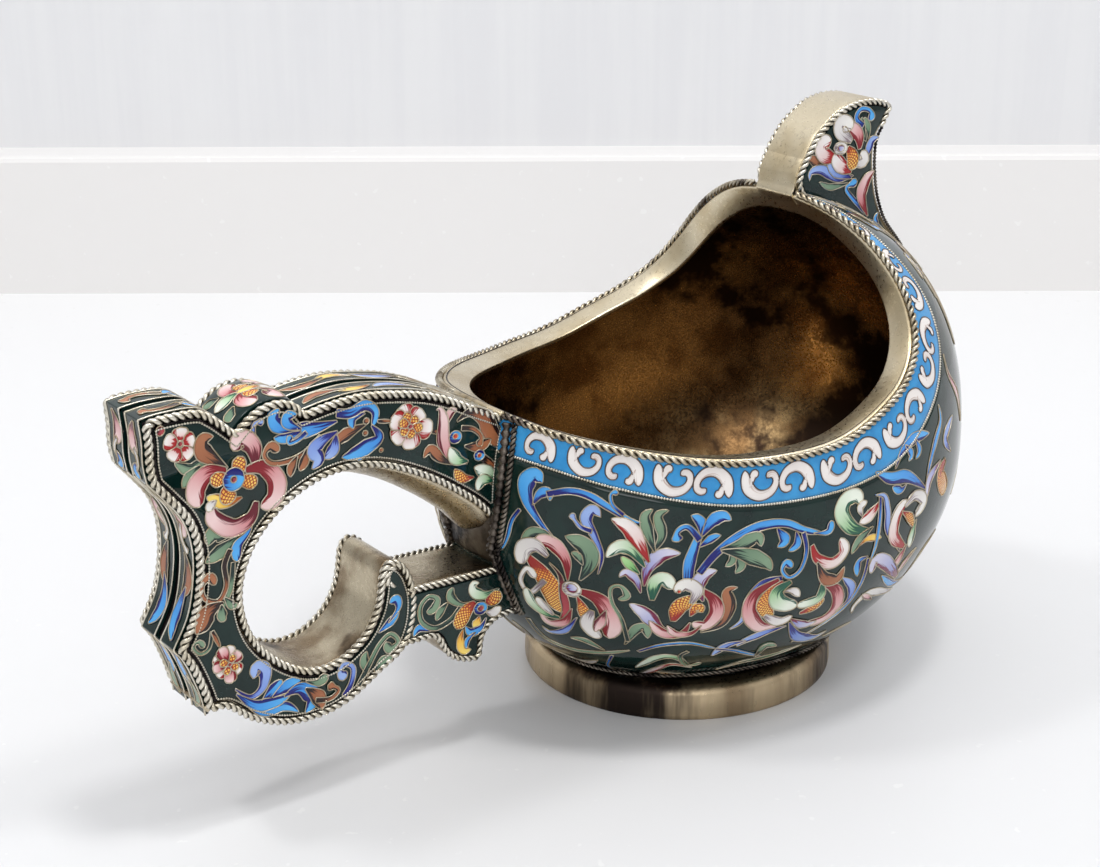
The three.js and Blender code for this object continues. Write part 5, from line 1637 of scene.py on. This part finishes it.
# The prow's side
prowPixels = [
    ("brown", "leaf", 1.1, 822, 169, 813, 160, 807, 160),
    ("periwinkle", "leaf", 1.1, 853, 175, 838, 179, 822, 170, 811, 172, 809, 181),
    ("sage", "leaf", 0.7, 849, 183, 830, 187, 819, 182),
    ("periwinkle", "leaf", 1.0, 861, 166, 868, 150, 872, 140, 879, 137),
    ("sage", "leaf", 0.8, 868, 139, 868, 128, 864, 117),
    ("sage", "leaf", 1.2, 866, 141, 861, 130, 862, 117),
    ("blue", "curl", 1.2, 863, 126, 856, 118, 861, 109, 870, 111, 871, 121),
    ("periwinkle", "leaf", 1.4, 851, 178, 835, 170, 827, 161),
    ("redPetal", "petal", 1.5, 859, 149, 858, 135, 847, 125),
    ("white", "petal", 1.8, 851, 141, 840, 131, 842, 123, 853, 126),
    ("whiteRed", "petal", 1.8, 837, 159, 824, 155, 822, 145, 831, 139),
    ("whiteRed", "petal", 1.6, 851, 171, 840, 165, 833, 155),
    ("white", "petal", 1.3, 854, 165, 864, 160, 861, 151),
    ("net", "petal", 1.6, 847, 147, 852, 158, 850, 170),
    dot("white", 1.5, 840, 148),
    dot("lavender", 0.8, 840, 148),
    ("blue", "curl", 1.1, 865, 212, 852, 198, 846, 188, 857, 181),
    ("redPetal", "leaf", 1.5, 867, 216, 861, 196, 866, 180, 874, 170),
    ("blue", "leaf", 0.6, 880, 230, 875, 219, 878, 212),
    ("blue", "leaf", 0.7, 891, 240, 879, 229, 868, 219),
]

# The field's hidden front repeats the foliage beside it, turned over, at the same share of the field's height
hiddenFront = {"mirrorTurn": math.radians(-49), "from": math.radians(-96), "clear": math.radians(2.5)}


def fieldHeights(azimuths):
    return polarAlong(borderLine, azimuths), polarInside(azimuths, foot["radius"])


def hiddenLeaves(leaves):
    turned = []
    for paint, kind, width, spine in leaves:
        azimuth, polar = anglesOf(spine)
        other = 2 * hiddenFront["mirrorTurn"] - azimuth
        if azimuth.min() > hiddenFront["from"] and azimuth.max() < hiddenFront["mirrorTurn"] and \
                other.max() < -hiddenFront["clear"]:
            (top, low), (otherTop, otherLow) = fieldHeights(azimuth), fieldHeights(other)
            share = (polar - top) / (low - top)
            turned.append((paint, kind, width, onOvoid(other, otherTop + share * (otherLow - otherTop))))
    return turned


# White scrolls along the border: a broad band with a curled end and a split one, turned over from one to the next
borderScroll = {"pitch": 9.23, "start": 19.6, "margin": 0.55, "size": 0.92, "most": 3.95}
scrollForms = [
    ("band", 0.38, [(-0.5, -0.28), (-0.72, -0.5), (-1.02, -0.36), (-1.06, 0.1), (-0.72, 0.56), (-0.1, 0.72),
                    (0.46, 0.42), (0.74, -0.1), (0.86, -0.8)]),
    ("drop", 0.24, [(0.52, 0.2), (0.38, -0.2), (0.34, -0.5), (0.02, -0.72)]),
]


def borderLeaves(ground):
    top, low = rightSide(rimLine, 600), rightSide(borderLine, 600)
    nearest = np.linalg.norm(top[:, None] - low[None], axis=2).argmin(1)
    middle = evenly((top + low[nearest]) / 2, count=600)
    length = runLength(middle)
    half = np.linalg.norm(top - low[nearest], axis=1) / 2
    middle = ground.snap(middle)
    side = unit(np.cross(ground.normal(middle), lineTangents(middle)))
    half = np.interp(length, runLength(top) * length[-1] / runLength(top)[-1], half) - borderScroll["margin"] / 2
    leaves = []
    places = np.arange(borderScroll["start"], length[-1] - borderScroll["pitch"], borderScroll["pitch"])
    for number, place in enumerate(places):
        turn = 1 if number % 2 == 0 else -1
        size = min(np.interp(place, length, half), borderScroll["most"]) * borderScroll["size"]
        for kind, width, form in scrollForms:
            form = np.array(form) * turn * size
            at = place + form[:, 0]
            spine = columnsAt(at, length, middle) + form[:, 1:] * columnsAt(at, length, side)
            leaves.append(("scroll", kind, width * size, spine))
    return leaves


# The strips' lanes: leaf after leaf, swaying from side to side, as paint, form, half width, start, end and sway
laneLeaves = {
    "top": [("sage", "leaf", 1.5, 0.12, 0.3, 1), ("redPetal", "leaf", 1.3, 0.3, 0.47, -1),
            ("white", "curl", 0.9, 0.36, 0.5, 1), ("periwinkle", "leaf", 1.2, 0.5, 0.7, 1),
            ("yellow", "leaf", 1.0, 0.7, 0.84, -1), ("brown", "leaf", 1.1, 0.8, 0.97, 1)],
    "ear": [("blue", "leaf", 1.6, 0.1, 0.5, 1), ("blue", "leaf", 1.1, 0.2, 0.52, -1),
            ("brown", "curl", 1.3, 0.52, 0.92, -1)],
    "earEnd": [("pink", "leaf", 1.6, 0.06, 0.6, 1), ("white", "curl", 0.9, 0.5, 0.84, -1),
               ("blue", "leaf", 1.0, 0.72, 0.96, 1)],
    "back": [("sage", "leaf", 1.0, 0.03, 0.24, 1), ("pink", "leaf", 1.4, 0.22, 0.42, -1),
             ("white", "curl", 1.0, 0.32, 0.5, 1), ("brown", "leaf", 1.5, 0.5, 0.74, -1),
             ("blue", "leaf", 1.4, 0.68, 0.97, 1)],
    "lowerBack": [("blue", "leaf", 1.5, 0.04, 0.7, 1), ("sage", "leaf", 1.1, 0.5, 0.96, -1)],
}


def laneSpine(start, end, sway):
    middle, reach = (start + end) / 2, end - start
    return [(start, lane["middle"] - 0.5 * sway), (middle - 0.15 * reach, lane["middle"] + 0.7 * sway),
            (middle + 0.2 * reach, lane["middle"] + 0.8 * sway), (end, lane["middle"] - 0.9 * sway)]


# The bump carries one large flower. A leaf that starts off its middle line has a twin across it.
bumpLeaves = [
    ("sage", "leaf", 1.2, [(0.78, 3.0), (0.9, 4.2), (0.95, 5.6)]),
    ("pink", "petal", 1.9, [(0.4, 0.5), (0.28, 3.0), (0.42, 5.6)]),
    ("redPetal", "petal", 1.7, [(0.6, 0.5), (0.66, 3.2), (0.56, 5.8)]),
    ("white", "petal", 1.5, [(0.45, 0.0), (0.25, 0.3), (0.08, 0.0)]),
    ("greenWhite", "leaf", 1.5, [(0.6, 0), (0.78, 0.3), (0.95, 0)]),
    ("net", "petal", 1.5, [(0.5, 0.3), (0.52, 1.8), (0.5, 3.2)]),
    ("yellow", "round", 1.0, [(0.36, 0), (0.5, 0), (0.64, 0)]),
]


def makeOrnament():
    field = BowlGround()
    seen = seenLeaves(field, bowlPixels)
    makeMotifs("field", field, seen + hiddenLeaves(seen))
    makeMotifs("border", field, borderLeaves(field), "border_enamel", wire=scrollWire)
    for name, half, rows in (("handle", handle["half"], handlePixels), ("bracket", handle["half"], bracketPixels),
                             ("prow", prow["half"], prowPixels)):
        ground = WallGround(-half)
        makeMotifs(name, ground, seenLeaves(ground, rows))
    for name, rows in laneLeaves.items():
        ground = StripGround(handleOutline, handleSpans[name], lane["inset"])
        makeMotifs(name + "Lane", ground, [(paint, kind, width, ground.placed(laneSpine(*reach)))
                                           for paint, kind, width, *reach in rows])
    ground = StripGround(handleOutline, handleSpans["bump"], bump["inset"], bump["half"], bump["rise"])
    makeMotifs("bump", ground, [(paint, kind, width, ground.placed(np.array(places) * (1, side)))
                                for paint, kind, width, places in bumpLeaves
                                for side in ((1, -1) if places[0][1] else (1,))], mirrored=False)


makeOrnament()
print("ornament made")


# A counter with an upstand against a wall, placed from under the camera: ahead of it, to its left and up
studio = {"counterEnd": 742, "upstandTop": 52.8, "upstandEnd": 760, "behind": 900, "halfWidth": 1500, "wallTop": 1100}
ahead = unit(-backAxis * (1, 1, 0))
studioAxes = np.array([ahead, np.cross(up, ahead), up])
standpoint = eye * (1, 1, 0)


# A sheet across the room along (ahead, up) places. It is clear from its back, so the ladle can be seen from all sides.
def stageSheet(name, places, material):
    side = studio["halfWidth"]
    points = [(ahead, across, height) for ahead, height in places for across in (side, -side)]
    mesh = bpy.data.meshes.new(name)
    faces = [(i, i + 1, i + 3, i + 2) for i in range(0, len(points) - 2, 2)]
    mesh.from_pydata((np.array(points) / 1000).tolist(), [], faces)
    mesh.materials.append(material)
    sheet = addPiece(name, mesh)
    sheet.matrix_world = Matrix.Translation(Vector(toFrame(standpoint))) @ Matrix(studioAxes).transposed().to_4x4()


# A pale stone, clear from its back. A far tone, where given, paints it lighter away from the camera: painted light that
# evens out the shade near the wall
def whiteStone(name, tone, speckTone, streaks=None, paintedFarLight=None):
    material, shader = startMaterial(name)
    place = objectPlace(material)
    if paintedFarLight:
        along = addNode(material, "SeparateXYZ")
        reach = addNode(material, "MapRange", {"From Min": 0.34, "From Max": 0.74})
        joinNodes(material, (place, along.inputs["Vector"]), (along.outputs["X"], reach.inputs["Value"]))
        tone = mixed(material, reach.outputs["Result"], tone, paintedFarLight)
    colour = mixed(material, noiseShare(material, place, 240, 0.68, 0.74, 2.0), tone, speckTone)
    if streaks:
        stretched = addNode(material, "Mapping", {"Scale": (1.0, 60.0, 3.0)})
        joinNodes(material, (place, stretched.inputs["Vector"]))
        streaked = noiseShare(material, stretched.outputs["Vector"], 2.0, 0.35, 0.65, 4.0)
        colour = mixed(material, streaked, colour, streaks)
    shader.inputs["Roughness"].default_value = 0.4
    output = material.node_tree.nodes["Material Output"]
    sided = addNode(material, "MixShader")
    joinNodes(material, (colour, shader.inputs["Base Color"]), (shader.outputs[0], sided.inputs[1]),
              (addNode(material, "NewGeometry").outputs["Backfacing"], sided.inputs[0]),
              (addNode(material, "BsdfTransparent").outputs[0], sided.inputs[2]),
              (sided.outputs[0], output.inputs["Surface"]))
    return material


def makeStage():
    end, top, back = studio["counterEnd"], studio["upstandTop"], studio["upstandEnd"]
    # The counter is painted lighter towards the wall: painted light
    counter = whiteStone("counter", (0.685, 0.685, 0.69, 1), (0.74, 0.74, 0.74, 1), paintedFarLight=(0.78, 0.78, 0.785, 1))
    upstand = whiteStone("upstand", (0.76, 0.745, 0.735, 1), (0.80, 0.79, 0.78, 1))
    wall = whiteStone("wallPaint", (0.725, 0.725, 0.735, 1), (0.725, 0.725, 0.735, 1), (0.70, 0.70, 0.715, 1))
    stageSheet("counterTop", [(-studio["behind"], 0), (end, 0)], counter)
    edge = [(end, 0), (end, top - 2), (end + 0.6, top - 0.6), (end + 2, top), (back, top)]
    stageSheet("counterUpstand", edge, upstand)
    stageSheet("backWall", [(back, top), (back, studio["wallTop"])], wall)


# Area lamps, aimed at the ladle: three small ones overhead and a wide soft one behind the camera
lamps = {
    "overhead": {"place": (-20, -130, 950), "size": (0.12, 0.12), "power": 2.2},
    "overHandle": {"place": (-420, 240, 830), "size": (0.12, 0.12), "power": 1.5},
    "overFront": {"place": (230, -330, 900), "size": (0.16, 0.16), "power": 1.6},
    "window": {"place": (-750, -900, 620), "size": (0.6, 0.5), "power": 3.0},
}


def makeLights():
    for name, lamp in lamps.items():
        bpy.ops.object.light_add(type="AREA")
        light = bpy.context.object
        light.name = name
        light.data.shape = "RECTANGLE"
        light.data.size, light.data.size_y = lamp["size"]
        light.data.energy = lamp["power"]
        start = Vector(toFrame(lamp["place"]))
        turn = (Vector(toFrame((-20, 0, 50))) - start).to_track_quat("-Z", "Y").to_matrix().to_4x4()
        light.matrix_world = Matrix.Translation(start) @ turn


# A white room that is brighter overhead than round the walls
def makeWorld():
    world = bpy.data.worlds.new("softRoom")
    bpy.context.scene.world = world
    world.use_nodes = True
    background = world.node_tree.nodes["Background"]
    background.inputs["Color"].default_value = (0.975, 0.985, 1.0, 1)
    height = addNode(world, "SeparateXYZ")
    strength = addNode(world, "MapRange", {"From Min": 0.0, "From Max": 0.8, "To Min": 0.5, "To Max": 0.95})
    joinNodes(world, (addNode(world, "TexCoord").outputs["Generated"], height.inputs["Vector"]),
              (height.outputs["Z"], strength.inputs["Value"]),
              (strength.outputs["Result"], background.inputs["Strength"]))


makeStage()
makeLights()
makeWorld()
bpy.context.scene.view_settings.view_transform = "Standard"
print("stage and light made")
